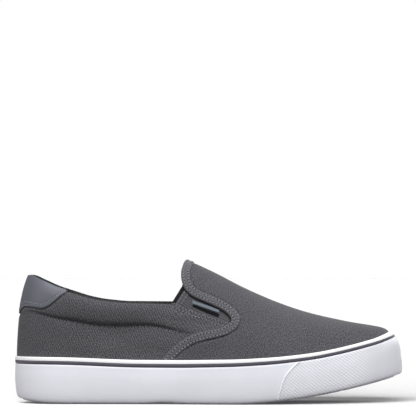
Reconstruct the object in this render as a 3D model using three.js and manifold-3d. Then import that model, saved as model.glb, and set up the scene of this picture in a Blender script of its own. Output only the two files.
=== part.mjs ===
// A slip-on sneaker for the right foot, built over its last.
// Millimetres, +X towards the toe, +Y towards the inner side of the foot, +Z up.
// The last is one function: a plan outline, an arch over each of its points, and an offset.
// Every piece of the shoe is a layer between two offsets of it, cut to a shape seen from the side.
import * as THREE from "three";
import { mergeVertices } from "three/addons/utils/BufferGeometryUtils.js";
import Module from "manifold-3d";

const wasm = await Module();
wasm.setup();

// Sizes of the last
const lastLength = 288.6; // heel to toe, over the upper at the sole
const heelWidth = 71.5;
const ballWidth = 101.5;
const instepHeight = 109; // floor to the top of the vamp

// Sizes of the collar
const collarHeelHeight = 98.6;
const collarSideHeight = 78;
const collarPuff = 2.4; // how far the padding stands out
const collarPuffInside = 2.6; // and in
const paddingThinning = 0.86; // 1 thins the padding to nothing at the edge, 0.5 not at all
const paddingFullness = 0.7; // under 1 makes it swell at once above its seam

// Sizes of the walls and overlays
const upperWall = 2.2;
const goreThickness = 1.1;
const goreInset = 1.1; // depth of the gore's face under the canvas
const tapeWidth = 6;
const tapeThickness = 0.9;
const patchThickness = 0.8;
const tagLength = 21.5;
const tagWidth = 3.2;
const tagThickness = 1.1;
const tagGap = 1.3; // below the vamp's edge
const clearance = 0.3; // between pieces that meet

// Sizes of the sole
const wallHeelHeight = 36.8; // ground to the top of the foxing
const wallMidHeight = 33.9;
const wallToeHeight = 32.7;
const toeSpring = 21.8;
const heelBevel = 4.2;
const archRise = 0.8;
const toeWallLean = 10; // degrees, at the tip, forward towards the ground
const bandHeight = 3.5;
const stripeHeight = 2;
const bandThickness = 2.4;
const stripeThickness = 2;
const bumperThickness = 1.2;
const bumperProud = 0.35; // how far it stands out of the wall
const floorHeelThickness = 19; // cup and outsole together, under the insole
const floorBallThickness = 11;
const insoleThickness = 4.5;
const insoleMargin = 5; // past the last's outline, before the upper's wall trims it
const outsoleThickness = 4;
const treadInset = 4.8; // from the last's outline
const treadProud = 0.8; // how far the tread stands below the wall
const lugHeight = 1.6;
const grooveWidth = 2.6;
const grooveSpacing = 17;
const grooveTeeth = 4;

// Where the outline changes from arc to table to arc, as shares of the length
const heelCentre = 0.124 * lastLength;
const toeStart = 0.69 * lastLength;
const toePole = 0.9 * lastLength;
const heelRoundness = 2.15; // exponents of the round ends, 2 is an ellipse
const toeRoundness = 2.3;
const springStart = 0.56 * lastLength;
const springPower = 1.85;
const bevelPower = 3;
const bevelEnd = 0.175 * lastLength;
const archStart = 0.33 * lastLength;
const archEnd = 0.46 * lastLength;

// Steps of the mesh
const heelSteps = 7;
const midSteps = 10;
const toeSteps = 8;
const archSteps = 12;
const archCrowding = 1.3; // over 1 puts more steps on the side wall
const edgeSamples = 4; // between two rows of a side-view edge
const collarSamples = 26;
const bisections = 40; // for a point of the arch

// Plan of the last. at: share of the length. spread: share of the way from heel to ball width.
// shift: of the centre line towards the inner side, as a share of half the ball width.
const planRows = [
  { at: 0.124, spread: 0.0, shift: 0.0 },
  { at: 0.25, spread: 0.03, shift: -0.015 },
  { at: 0.37, spread: 0.13, shift: -0.04 },
  { at: 0.51, spread: 0.53, shift: -0.03 },
  { at: 0.62, spread: 0.91, shift: 0.0 },
  { at: 0.69, spread: 1.0, shift: 0.02 },
  { at: 0.84, spread: 1.0, shift: 0.075 },
  { at: 1.0, spread: 1.0, shift: 0.15 },
];

// Top of the arch. up: share of the height from the foxing to the instep. crown, side: the
// arch's exponents, where 2 and 2 is an ellipse and a larger crown is a flatter top.
const archRows = [
  { at: 0.124, up: 1.15, crown: 2.0, side: 3.0 },
  { at: 0.29, up: 1.17, crown: 2.0, side: 1.9 },
  { at: 0.452, up: 1.0, crown: 2.3, side: 1.9 },
  { at: 0.519, up: 0.888, crown: 2.3, side: 1.9 },
  { at: 0.604, up: 0.718, crown: 2.2, side: 2.0 },
  { at: 0.69, up: 0.564, crown: 2.3, side: 2.1 },
  { at: 0.754, up: 0.461, crown: 2.7, side: 2.3 },
  { at: 0.839, up: 0.336, crown: 4.0, side: 2.9 },
  { at: 0.9, up: 0.238, crown: 8.0, side: 4.0 },
];

// Top edge of the collar. rise: share of the way from its side height to its heel height.
const collarRows = [
  { at: -0.05, rise: 1.0 },
  { at: 0.041, rise: 1.0 },
  { at: 0.073, rise: 0.82 },
  { at: 0.113, rise: 0.56 },
  { at: 0.156, rise: 0.36 },
  { at: 0.198, rise: 0.18 },
  { at: 0.241, rise: 0.07 },
  { at: 0.31, rise: 0.0 },
  { at: 0.413, rise: 0.0 },
];

// Seam under the collar's padding. down: share of the way from the collar to the foxing.
const seamRows = [
  { at: 0.0, down: 0.46 },
  { at: 0.088, down: 0.46 },
  { at: 0.153, down: 0.45 },
  { at: 0.239, down: 0.455 },
  { at: 0.34, down: 0.4 },
  { at: 0.46, down: 0.56 },
];

// How much of the padding there is along the shoe
const puffRows = [
  { at: 0.0, share: 0.2 },
  { at: 0.1, share: 0.6 },
  { at: 0.25, share: 1.0 },
  { at: 0.35, share: 0.8 },
  { at: 0.47, share: 0.0 },
];

// Height of the sole's wall, and thickness of its floor. toe, heel: shares of those sizes,
// the rest is the middle's or the ball's.
const wallRows = [
  { at: 0.0, heel: 1.0, toe: 0.0 },
  { at: 0.12, heel: 0.85, toe: 0.0 },
  { at: 0.33, heel: 0.06, toe: 0.0 },
  { at: 0.45, heel: 0.0, toe: 0.0 },
  { at: 0.66, heel: 0.0, toe: -0.2 },
  { at: 0.82, heel: 0.0, toe: 0.9 },
  { at: 0.94, heel: 0.0, toe: 1.0 },
  { at: 1.0, heel: 0.0, toe: -0.1 },
];
const floorRows = [
  { at: 0.0, heel: 1.0 },
  { at: 0.3, heel: 0.9 },
  { at: 0.66, heel: 0.0 },
  { at: 1.0, heel: 0.0 },
];

// Free edge of the vamp seen from the side, from the sole up to the instep.
// up: share of the height from the foxing to the instep.
const vampEdgeRows = [
  { at: 0.373, up: -0.1 },
  { at: 0.394, up: 0.006 },
  { at: 0.413, up: 0.104 },
  { at: 0.457, up: 0.229 },
  { at: 0.506, up: 0.291 },
  { at: 0.556, up: 0.337 },
  { at: 0.572, up: 0.394 },
  { at: 0.563, up: 0.448 },
  { at: 0.517, up: 0.552 },
  { at: 0.465, up: 0.646 },
  { at: 0.444, up: 0.748 },
  { at: 0.4395, up: 0.862 },
  { at: 0.4475, up: 0.99 },
  { at: 0.462, up: 1.15 },
];
const goreTipRow = 5; // where the quarter's front edge runs into the vamp's edge
const goreTopAt = 0.4425; // where the gore's free edge runs under the vamp
const goreTopUp = 0.725;
const collarCornerAt = 0.4125;

// Lower edge of the heel patch, from the back forward. height: share of the collar's at the heel.
const patchRows = [
  { at: -0.03, height: 0.62 },
  { at: 0.0055, height: 0.684 },
  { at: 0.0145, height: 0.732 },
  { at: 0.026, height: 0.752 },
  { at: 0.045, height: 0.746 },
  { at: 0.072, height: 0.733 },
  { at: 0.089, height: 0.748 },
  { at: 0.104, height: 0.78 },
  { at: 0.119, height: 0.818 },
  { at: 0.141, height: 0.87 },
  { at: 0.16, height: 0.93 },
];

// Side wall of the sole, from the foxing down. drop: below the wall's top edge. rise: above
// the ground line. out: from the last's outline.
const wallProfile = [
  { drop: bandHeight + stripeHeight + clearance, out: 2.1 },
  { drop: 15, out: 2.5 },
  { rise: 10, out: 2.1 },
  { rise: 3.5, out: 1.3 },
  { rise: treadProud, out: 0 },
];

// Rear edge of the toe bumper seen from the side. up: share of the wall's height.
const bumperRows = [
  { at: 0.688, up: -0.3 },
  { at: 0.698, up: 0.05 },
  { at: 0.706, up: 0.3 },
  { at: 0.721, up: 0.58 },
  { at: 0.75, up: 0.86 },
  { at: 0.79, up: 1.2 },
];

// Where the tag hangs, seen from the side
const tagAt = 0.491; // its middle, as a share of the length
const tagSlope = -22; // degrees

// A smooth curve through one column of a table of rows, by the rows' place along the shoe
function column(rows, name) {
  const xs = rows.map((row) => row.at * lastLength);
  const ys = rows.map((row) => row[name]);
  const rises = xs.slice(1).map((x, i) => (ys[i + 1] - ys[i]) / (x - xs[i]));
  const slopes = ys.map((_, i) => {
    if (i === 0) return rises[0];
    if (i === ys.length - 1) return rises[i - 1];
    const [before, after] = [rises[i - 1], rises[i]];
    return before * after <= 0 ? 0 : (2 * before * after) / (before + after);
  });
  return (x) => {
    const held = THREE.MathUtils.clamp(x, xs[0], xs[xs.length - 1]);
    const found = xs.findIndex((edge, i) => i > 0 && held <= edge);
    const i = Math.max(0, found - 1);
    const span = xs[i + 1] - xs[i];
    const s = (held - xs[i]) / span;
    const [s2, s3] = [s * s, s * s * s];
    const fromValues = (2 * s3 - 3 * s2 + 1) * ys[i] + (3 * s2 - 2 * s3) * ys[i + 1];
    const fromSlopes = (s3 - 2 * s2 + s) * slopes[i] + (s3 - s2) * slopes[i + 1];
    return fromValues + fromSlopes * span;
  };
}

const spread = column(planRows, "spread");
const shift = column(planRows, "shift");
const archUp = column(archRows, "up");
const crownPower = column(archRows, "crown");
const sidePower = column(archRows, "side");
const collarRise = column(collarRows, "rise");
const seamDown = column(seamRows, "down");
const puffShare = column(puffRows, "share");
const wallHeelShare = column(wallRows, "heel");
const wallToeShare = column(wallRows, "toe");
const floorHeelShare = column(floorRows, "heel");

// Heights along the shoe
function springLine(x) {
  const along = Math.max(0, (x - springStart) / (lastLength - springStart));
  return toeSpring * along ** springPower;
}

function groundLine(x) {
  const bevel = Math.max(0, (bevelEnd - x) / bevelEnd) ** bevelPower;
  const arch = THREE.MathUtils.clamp((x - archStart) / (archEnd - archStart), 0, 1);
  return springLine(x) + heelBevel * bevel + archRise * Math.sin(Math.PI * arch) ** 2;
}

function topLine(x) {
  const heel = wallHeelShare(x) * (wallHeelHeight - wallMidHeight);
  const toe = wallToeShare(x) * (wallToeHeight - wallMidHeight);
  return springLine(x) + wallMidHeight + heel + toe;
}

function floorLine(x) {
  const heel = floorHeelShare(x) * (floorHeelThickness - floorBallThickness);
  return springLine(x) + floorBallThickness + heel;
}

const heightAt = (x, up) => topLine(x) + up * (instepHeight - topLine(x));
const archTop = (x) => heightAt(x, archUp(x));
const collarLine = (x) =>
  collarSideHeight + collarRise(x) * (collarHeelHeight - collarSideHeight);
const seamLine = (x) => collarLine(x) - seamDown(x) * (collarLine(x) - topLine(x));

// Plan outline of the last
const centreLine = (x) => (shift(x) * ballWidth) / 2;
const halfWidth = (x) => (heelWidth + spread(x) * (ballWidth - heelWidth)) / 2;
const lastStep = heelSteps + midSteps + toeSteps;

// One station of the outline, and the spine point that its arch rises to.
// side is -1 on the outer side of the foot and 1 on the inner.
function station(step, side) {
  if (step <= heelSteps) {
    const turn = (Math.PI / 2) * (1 - step / heelSteps);
    const power = 2 / heelRoundness;
    const half = halfWidth(heelCentre) * Math.cos(turn) ** power;
    const x = heelCentre * (1 - Math.sin(turn) ** power);
    return { x, y: centreLine(heelCentre) + side * half, spine: heelCentre };
  }
  if (step <= heelSteps + midSteps) {
    const along = (step - heelSteps) / midSteps;
    const x = THREE.MathUtils.lerp(heelCentre, toeStart, along);
    return { x, y: centreLine(x) + side * halfWidth(x), spine: x };
  }
  const turn = ((Math.PI / 2) * (step - heelSteps - midSteps)) / toeSteps;
  const power = 2 / toeRoundness;
  const x = toeStart + (lastLength - toeStart) * Math.sin(turn) ** power;
  const half = step === lastStep ? 0 : halfWidth(toeStart) * Math.cos(turn) ** power;
  const spine = THREE.MathUtils.lerp(toeStart, toePole, Math.sin(turn));
  return { x, y: centreLine(x) + side * half, spine };
}

// The stations all round: outer side from heel to toe, then the inner side back
const stations = [];
for (let step = 0; step <= lastStep; step++) stations.push(station(step, -1));
for (let step = lastStep - 1; step > 0; step--) stations.push(station(step, 1));
stations.forEach((at, i) => {
  const before = stations[(i + stations.length - 1) % stations.length];
  const after = stations[(i + 1) % stations.length];
  const along = new THREE.Vector2(after.x - before.x, after.y - before.y).normalize();
  at.outward = new THREE.Vector2(along.y, -along.x);
});

// A point of the unit arch, where across is 1 on the outline and 0 over the spine
function archPoint(share, crown, side) {
  if (share >= 1) return { across: 0, up: 1 };
  const angle = (Math.PI / 2) * share ** archCrowding;
  let [low, high] = [0, Math.SQRT2];
  for (let i = 0; i < bisections; i++) {
    const reach = (low + high) / 2;
    const value = (reach * Math.cos(angle)) ** crown + (reach * Math.sin(angle)) ** side;
    if (value < 1) low = reach;
    else high = reach;
  }
  return { across: low * Math.cos(angle), up: low * Math.sin(angle) };
}

// A point of the last's surface over one station. In front of the toe's pole the arch leans
// with the slope of the ridge, so that the vamp runs on in one line to the tip.
function lastPoint(at, share) {
  const { across, up } = archPoint(share, crownPower(at.spine), sidePower(at.spine));
  const spineY = centreLine(at.spine);
  const x = THREE.MathUtils.lerp(at.spine, at.x, across);
  const y = THREE.MathUtils.lerp(spineY, at.y, across);
  const [base, top] = [floorLine(at.x), archTop(at.spine)];
  const slope = archTop(at.spine) - archTop(at.spine - 1);
  const lean = at.spine >= toeStart ? slope * (at.x - at.spine) : 0;
  return new THREE.Vector3(x, y, (base - lean) * (1 - up) + top * up + lean * across);
}

const lastRings = stations.map((at) =>
  Array.from({ length: archSteps + 1 }, (_, k) => lastPoint(at, k / archSteps)),
);

const lastNormals = lastRings.map((ring, i) => {
  const before = lastRings[(i + stations.length - 1) % stations.length];
  const after = lastRings[(i + 1) % stations.length];
  return ring.map((point, k) => {
    if (k === archSteps) return ridgeNormal(stations[i].spine);
    const around = after[k].clone().sub(before[k]);
    const upward = ring[k + 1].clone().sub(ring[Math.max(0, k - 1)]);
    const normal = around.cross(upward).normalize();
    return k === 0 ? normal.setZ(0).normalize() : normal;
  });
});

function ridgeNormal(x) {
  if (x <= heelCentre) return new THREE.Vector3(0, 0, 1);
  const reach = 2;
  const rise = archTop(x + reach) - archTop(x - reach);
  return new THREE.Vector3(-rise, 0, 2 * reach).normalize();
}

// Padding of the collar at a point of the last, from 0 at its seam to 1 where it is fullest
function puffAt(point) {
  const seam = seamLine(point.x);
  const high = (point.z - seam) / (collarLine(point.x) - seam);
  if (high <= 0) return 0;
  const swell = Math.sin(Math.PI * Math.min(1, high * paddingThinning)) ** paddingFullness;
  return swell * puffShare(point.x);
}

const cutPast = 3; // how far a cut runs past the face that it opens

// Solids from grids of points. Each rail runs from the bottom spine out and up to the top
// spine, and the rails go round counterclockwise seen from above.
function solidOfRails(rails) {
  const points = rails.flat();
  const rows = rails[0].length;
  const index = [];
  rails.forEach((_, i) => {
    const next = (i + 1) % rails.length;
    for (let k = 0; k < rows - 1; k++) {
      const [a, b] = [i * rows + k, next * rows + k];
      index.push(a, b, b + 1, a, b + 1, a + 1);
    }
  });
  const geometry = new THREE.BufferGeometry().setFromPoints(points);
  return solidOf(geometry.setIndex(index));
}

// A closed three.js geometry as a solid that can be cut and joined
function solidOf(geometry) {
  const bare = geometry.clone();
  bare.deleteAttribute("normal");
  bare.deleteAttribute("uv");
  const merged = mergeVertices(bare, 1e-4);
  const triangles = [];
  for (let i = 0; i < merged.index.count; i += 3) {
    const corner = [0, 1, 2].map((k) => merged.index.getX(i + k));
    if (new Set(corner).size === 3) triangles.push(...corner);
  }
  return new wasm.Manifold(
    new wasm.Mesh({
      numProp: 3,
      vertProperties: merged.attributes.position.array,
      triVerts: new Uint32Array(triangles),
    }),
  );
}

// The last grown by an offset, continued below its floor by a drop. puff adds the padding.
function form(offset, { drop = 0, puff = 0 } = {}) {
  const rails = lastRings.map((ring, i) => {
    const skin = ring.map((point, k) => {
      const grow = offset + puff * puffAt(point);
      return point.clone().addScaledVector(lastNormals[i][k], grow);
    });
    skin[archSteps].y = ring[archSteps].y;
    const { spine, x } = stations[i];
    const under = new THREE.Vector3(spine, centreLine(spine), floorLine(spine) - drop);
    const edge = skin[0].clone().setZ(floorLine(x) - drop);
    return drop > 0 ? [under, edge, ...skin] : [under, ...skin];
  });
  return solidOfRails(rails);
}

// A layer of the last between two offsets, open underneath
function layer(inner, outer, puff = {}) {
  const outside = form(outer, { puff: puff.outer ?? puff.both ?? 0 });
  const inside = form(inner, { drop: cutPast, puff: puff.inner ?? puff.both ?? 0 });
  return outside.subtract(inside);
}

// A side-view shape as a block that reaches across the shoe, or across one side of it
function block(points, { side = 0 } = {}) {
  const shape = new THREE.Shape(points);
  const reach = ballWidth;
  const depth = side === 0 ? 2 * reach : reach;
  const geometry = new THREE.ExtrudeGeometry(shape, { depth, bevelEnabled: false });
  geometry.rotateX(Math.PI / 2);
  geometry.translate(0, side === -1 ? 0 : reach, 0);
  return solidOf(geometry);
}

// Side-view edges, as lists of points
const far = 2 * instepHeight; // past the shoe on every side
const sideX = (share) => share * lastLength;
const sidePoint = (x, z) => new THREE.Vector2(x, z);

function smooth(points) {
  const curve = new THREE.SplineCurve(points);
  return curve.getPoints((points.length - 1) * edgeSamples);
}

function sampled(fromX, toX, count, line) {
  return Array.from({ length: count + 1 }, (_, i) => {
    const x = THREE.MathUtils.lerp(fromX, toX, i / count);
    return sidePoint(x, line(x));
  });
}

// The same line moved to its right by a distance
function moved(points, distance) {
  return points.map((point, i) => {
    const before = points[Math.max(0, i - 1)];
    const after = points[Math.min(points.length - 1, i + 1)];
    const along = after.clone().sub(before).normalize();
    return point.clone().add(new THREE.Vector2(along.y, -along.x).multiplyScalar(distance));
  });
}

const vampEdge = smooth(
  vampEdgeRows.map((row) => sidePoint(sideX(row.at), heightAt(sideX(row.at), row.up))),
);
const goreTip = goreTipRow * edgeSamples;
const vampFreeEdge = vampEdge.slice(goreTip);
const collarCorner = sidePoint(
  sideX(collarCornerAt),
  collarLine(sideX(collarCornerAt)) - clearance,
);
const collarEdge = sampled(sideX(collarRows[0].at), collarCorner.x, collarSamples, collarLine);
const goreTop = sidePoint(sideX(goreTopAt), heightAt(sideX(goreTopAt), goreTopUp));

// What is open above the canvas: over the collar, and in the notch for the gore
function openingShape() {
  const top = vampFreeEdge[vampFreeEdge.length - 1];
  return [
    sidePoint(-far, far),
    sidePoint(-far, collarEdge[0].y),
    ...collarEdge,
    ...vampFreeEdge,
    sidePoint(top.x, far),
  ];
}

function makeUpper() {
  const padding = { outer: collarPuff, inner: -collarPuffInside };
  return layer(-upperWall, 0, padding).subtract(block(openingShape()));
}

// The elastic panel fills the notch between the quarter's front edge and the vamp's
function goreShape() {
  const vampSide = moved(vampFreeEdge, -clearance).filter(
    (point, i) => i > 0 && point.y < goreTop.y,
  );
  const quarterSide = [collarCorner, vampFreeEdge[0]].map(
    (point) => sidePoint(point.x + clearance, point.y + clearance),
  );
  return [...quarterSide, ...vampSide];
}

function makeGore(side) {
  const panel = layer(-goreInset - goreThickness, -goreInset);
  return panel.intersect(block(goreShape(), { side }));
}

// The tape lies on the vamp along its whole free edge, down to the foxing
function makeTape() {
  const strip = [...vampEdge, ...moved(vampEdge, tapeWidth).reverse()];
  const behindBand = soleSolid([
    { drop: -clearance, out: bandThickness },
    { drop: wallMidHeight / 2, out: bandThickness },
  ]);
  return layer(clearance, clearance + tapeThickness)
    .intersect(block(strip))
    .subtract(behindBand);
}

function makePatch() {
  const lower = smooth(
    patchRows.map((row) => sidePoint(sideX(row.at), row.height * collarHeelHeight)),
  );
  const region = [...lower, sidePoint(lower.at(-1).x, far), sidePoint(lower[0].x, far)];
  return layer(clearance, clearance + patchThickness, { both: collarPuff })
    .intersect(block(region))
    .subtract(block(openingShape()));
}

function makeTag() {
  const x = sideX(tagAt);
  const edge = vampFreeEdge.reduce((a, b) => (Math.abs(b.x - x) < Math.abs(a.x - x) ? b : a));
  const along = sidePoint(1, Math.tan(THREE.MathUtils.degToRad(tagSlope))).normalize();
  const down = sidePoint(along.y, -along.x);
  const middle = edge.clone().addScaledVector(down, tagGap + tagWidth / 2);
  const toEnd = along.clone().multiplyScalar(tagLength / 2);
  const toEdge = down.clone().multiplyScalar(tagWidth / 2);
  const outline = [
    middle.clone().sub(toEnd).sub(toEdge),
    middle.clone().sub(toEnd).add(toEdge),
    middle.clone().add(toEnd).add(toEdge),
    middle.clone().add(toEnd).sub(toEdge),
  ];
  const under = clearance - goreInset;
  return layer(under, under + tagThickness).intersect(block(outline, { side: -1 }));
}

// A point of the sole over one station. A row is a drop below the top line or a rise above
// the ground line, at an offset out from the last. Where the toe springs up, the wall leans
// forward towards the ground.
function solePoint(at, row) {
  const x = at.x + at.outward.x * row.out;
  const z = soleHeight(row, x);
  const steep = (springLine(at.x) / toeSpring) ** (1 - 1 / springPower);
  const lean = Math.tan(THREE.MathUtils.degToRad(toeWallLean)) * steep;
  const ahead = Math.max(0, at.outward.x) ** 0.5;
  return new THREE.Vector3(
    x + lean * ahead * (topLine(x) - z),
    at.y + at.outward.y * row.out,
    z,
  );
}

const soleHeight = (row, x) =>
  row.drop !== undefined ? topLine(x) - row.drop : groundLine(x) + row.rise;

// A body of the sole from rows of its profile, closed over its spine at the top and bottom
function soleSolid(rows) {
  const spinePoint = (at, row) =>
    new THREE.Vector3(at.spine, centreLine(at.spine), soleHeight(row, at.spine));
  const rails = stations.map((at) => [
    spinePoint(at, rows.at(-1)),
    ...rows.map((row) => solePoint(at, row)).reverse(),
    spinePoint(at, rows[0]),
  ]);
  return solidOfRails(rails);
}

function makeBand() {
  const ring = soleSolid([
    { drop: 0, out: bandThickness },
    { drop: bandHeight - clearance, out: bandThickness },
  ]);
  return ring.subtract(form(clearance));
}

function makeStripe() {
  const ring = soleSolid([
    { drop: bandHeight, out: stripeThickness },
    { drop: bandHeight + stripeHeight, out: stripeThickness },
  ]);
  return ring.subtract(form(clearance));
}

const treadRows = (inset, low, high) => [
  { rise: high, out: -inset },
  { rise: low, out: -inset },
];

function makeMidsole() {
  const recess = soleSolid(
    treadRows(treadInset - clearance, -cutPast, outsoleThickness + clearance),
  );
  const inner = bumperProud - bumperThickness - clearance;
  const bumperSeat = soleSolid(grownWall(cutPast, cutPast))
    .subtract(soleSolid(grownWall(inner, cutPast)))
    .intersect(block(bumperRegion(clearance)));
  return soleSolid(wallProfile)
    .subtract(form(clearance, { drop: clearance }))
    .subtract(recess)
    .subtract(bumperSeat);
}

// The wall's profile moved outwards, and continued past its top and bottom
function grownWall(by, past) {
  const top = { ...wallProfile[0], drop: wallProfile[0].drop - past };
  const bottom = { ...wallProfile.at(-1), rise: wallProfile.at(-1).rise - past };
  return [top, ...wallProfile.slice(1, -1), bottom].map((row) => ({ ...row, out: row.out + by }));
}

// What lies in front of the bumper's rear edge. gap moves that edge towards the heel.
function bumperRegion(gap) {
  const rear = smooth(
    bumperRows.map((row) => {
      const x = sideX(row.at);
      return sidePoint(x - gap, groundLine(x) + row.up * (topLine(x) - groundLine(x)));
    }),
  );
  const [bottom, top] = [rear[0], rear.at(-1)];
  return [
    sidePoint(bottom.x, -far),
    ...rear,
    sidePoint(top.x, far),
    sidePoint(2 * far, far),
    sidePoint(2 * far, -far),
  ];
}

function makeBumper() {
  return soleSolid(grownWall(bumperProud, 0))
    .subtract(soleSolid(grownWall(bumperProud - bumperThickness, cutPast)))
    .intersect(block(bumperRegion(0)));
}

// Zigzag grooves across the tread
function grooves() {
  const count = Math.floor((lastLength - 2 * grooveSpacing) / grooveSpacing);
  const half = ballWidth / 2;
  let all = null;
  for (let i = 1; i <= count; i++) {
    const x = i * grooveSpacing + grooveSpacing / 2;
    const line = Array.from({ length: grooveTeeth + 1 }, (_, k) => {
      const y = THREE.MathUtils.lerp(-half, half, k / grooveTeeth);
      return sidePoint(x + (k % 2 ? 1 : -1) * (grooveSpacing / 4), y);
    });
    const rear = line.map((p) => sidePoint(p.x - grooveWidth / 2, p.y));
    const front = line.map((p) => sidePoint(p.x + grooveWidth / 2, p.y)).reverse();
    const cutter = solidOf(
      new THREE.ExtrudeGeometry(new THREE.Shape([...rear, ...front]), {
        depth: far,
        bevelEnabled: false,
      }),
    );
    all = all ? all.add(cutter) : cutter;
  }
  return all;
}

function makeOutsole() {
  const belowLugs = soleSolid(treadRows(-treadInset, -cutPast, lugHeight));
  const cuts = grooves().translate([0, 0, -far / 2]).intersect(belowLugs);
  return soleSolid(treadRows(treadInset, 0, outsoleThickness)).subtract(cuts);
}

function makeInsole() {
  const rails = stations.map((at) => {
    const heightOver = (x, y, height) => new THREE.Vector3(x, y, floorLine(x) + height);
    const [low, high] = [clearance, insoleThickness];
    const edge = [at.x + at.outward.x * insoleMargin, at.y + at.outward.y * insoleMargin];
    return [
      heightOver(at.spine, centreLine(at.spine), low),
      heightOver(...edge, low),
      heightOver(...edge, high),
      heightOver(at.spine, centreLine(at.spine), high),
    ];
  });
  return solidOfRails(rails).intersect(form(-upperWall - clearance, { drop: cutPast }));
}

// Finishes
const canvas = { color: 0x5a595d, roughness: 0.95, metalness: 0 };
const elastic = { color: 0x605e63, roughness: 0.9, metalness: 0 };
const leather = { color: 0x5f636d, roughness: 0.5, metalness: 0 };
const whiteRubber = { color: 0xe2e2e8, roughness: 0.55, metalness: 0 };
const darkRubber = { color: 0x4b4855, roughness: 0.6, metalness: 0 };
const footbed = { color: 0x3a3a3d, roughness: 1, metalness: 0 };
const wovenTape = { color: 0x6f6e72, roughness: 0.95, metalness: 0 };

// A named mesh from the largest body of a solid, without the crumbs that a cut leaves
function piece(name, solid, finish) {
  const [body] = solid.decompose().sort((a, b) => b.volume() - a.volume());
  const { vertProperties, triVerts } = body.getMesh();
  const geometry = new THREE.BufferGeometry();
  geometry.setAttribute("position", new THREE.BufferAttribute(vertProperties, 3));
  geometry.setIndex(new THREE.BufferAttribute(triVerts, 1));
  geometry.computeVertexNormals();
  const mesh = new THREE.Mesh(geometry, new THREE.MeshStandardMaterial(finish));
  mesh.name = name;
  return mesh;
}

const shoe = new THREE.Group();
shoe.add(
  piece("outsole", makeOutsole(), whiteRubber),
  piece("midsole", makeMidsole(), whiteRubber),
  piece("foxing_stripe", makeStripe(), darkRubber),
  piece("foxing_band", makeBand(), whiteRubber),
  piece("toe_bumper", makeBumper(), whiteRubber),
  piece("insole", makeInsole(), footbed),
  piece("upper", makeUpper(), canvas),
  piece("gore_outer", makeGore(-1), elastic),
  piece("gore_inner", makeGore(1), elastic),
  piece("vamp_tape", makeTape(), wovenTape),
  piece("heel_patch", makePatch(), leather),
  piece("side_tag", makeTag(), leather),
);

// The origin is on the floor, at the middle of the shoe's box
const box = new THREE.Box3().setFromObject(shoe);
const centre = box.getCenter(new THREE.Vector3());
shoe.position.set(-centre.x, -centre.y, -box.min.z);

export default shoe;
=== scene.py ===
# %% [markdown]
# # A slip-on sneaker, sewn and moulded over its last
# A shoe is built round a last, the wooden or plastic foot that gives it its shape. The cloth
# upper is sewn flat, pulled over the last, and the rubber sole is glued round its foot.
# This file goes the same way. The last is one function of a place along the shoe and a
# place over it, and every piece is a layer on that function. It could be sculpted freely,
# but then the cloth, tape and threads would each need fitting to the others by eye.
# Sizes here are in millimetres of the last, and only the finished points become metres.

import math

import bpy
import numpy as np
from mathutils.geometry import delaunay_2d_cdt
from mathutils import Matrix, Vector


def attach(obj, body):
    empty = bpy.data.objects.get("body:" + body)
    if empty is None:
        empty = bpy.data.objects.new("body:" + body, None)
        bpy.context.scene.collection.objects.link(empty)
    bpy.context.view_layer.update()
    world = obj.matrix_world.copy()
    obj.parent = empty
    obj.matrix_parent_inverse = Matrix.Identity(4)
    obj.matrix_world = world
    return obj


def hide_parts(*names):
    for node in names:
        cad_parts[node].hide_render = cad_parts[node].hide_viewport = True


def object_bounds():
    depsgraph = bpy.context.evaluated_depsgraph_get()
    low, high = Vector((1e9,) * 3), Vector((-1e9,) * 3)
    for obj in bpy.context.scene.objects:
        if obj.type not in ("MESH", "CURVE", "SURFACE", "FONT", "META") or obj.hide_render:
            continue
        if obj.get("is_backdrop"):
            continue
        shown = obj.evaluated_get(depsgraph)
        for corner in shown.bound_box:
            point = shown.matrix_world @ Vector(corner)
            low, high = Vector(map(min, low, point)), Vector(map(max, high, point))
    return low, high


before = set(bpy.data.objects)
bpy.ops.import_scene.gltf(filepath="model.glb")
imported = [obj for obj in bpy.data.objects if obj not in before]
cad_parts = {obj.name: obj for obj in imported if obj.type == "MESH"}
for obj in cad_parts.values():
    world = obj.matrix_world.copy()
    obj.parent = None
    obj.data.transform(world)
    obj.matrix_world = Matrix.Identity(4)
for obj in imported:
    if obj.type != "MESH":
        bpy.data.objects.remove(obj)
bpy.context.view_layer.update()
print("nodes:", sorted(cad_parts))

# %% [markdown]
# ## Sizes
# The heel of the last is at x = 0 and its toe at x = 288.6. The frame has its origin in the
# middle of the shoe instead, so finished points are moved by ORIGIN.

# %% Sizes of the last, the collar and the sole
ORIGIN = np.array([146.5657501, 1.4202747, 0.0])
LAST_LENGTH = 288.6
HEEL_WIDTH = 71.5
BALL_WIDTH = 101.5
INSTEP_HEIGHT = 109.0
COLLAR_HEEL = 98.6
COLLAR_SIDE = 78.0
COLLAR_SWELL = 5.2
COLLAR_PUFF_INSIDE = 2.6
WALL_HEEL = 36.1
WALL_MID = 33.65
WALL_TOE = 32.7
TOE_SPRING = 21.8
HEEL_BEVEL = 4.2
ARCH_RISE = 0.8
TOE_LEAN = math.tan(math.radians(10))
FLOOR_HEEL = 19.0
FLOOR_BALL = 11.0

HEEL_CENTRE = 0.124 * LAST_LENGTH
TOE_START = 0.69 * LAST_LENGTH
TOE_POLE = 0.9 * LAST_LENGTH
HEEL_ROUND = 2.15  # powers of the curves round the heel and the toe
TOE_ROUND = 2.3
SPRING_START = 0.56 * LAST_LENGTH
SPRING_POWER = 1.85
BEVEL_END = 0.175 * LAST_LENGTH
ARCH_START = 0.33 * LAST_LENGTH
ARCH_END = 0.46 * LAST_LENGTH
ARCH_CROWDING = 1.3
# About how many millimetres one step of u, and one step of v, is long on the vamp.
UV_MM = np.array([163.3, 92.0])


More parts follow.
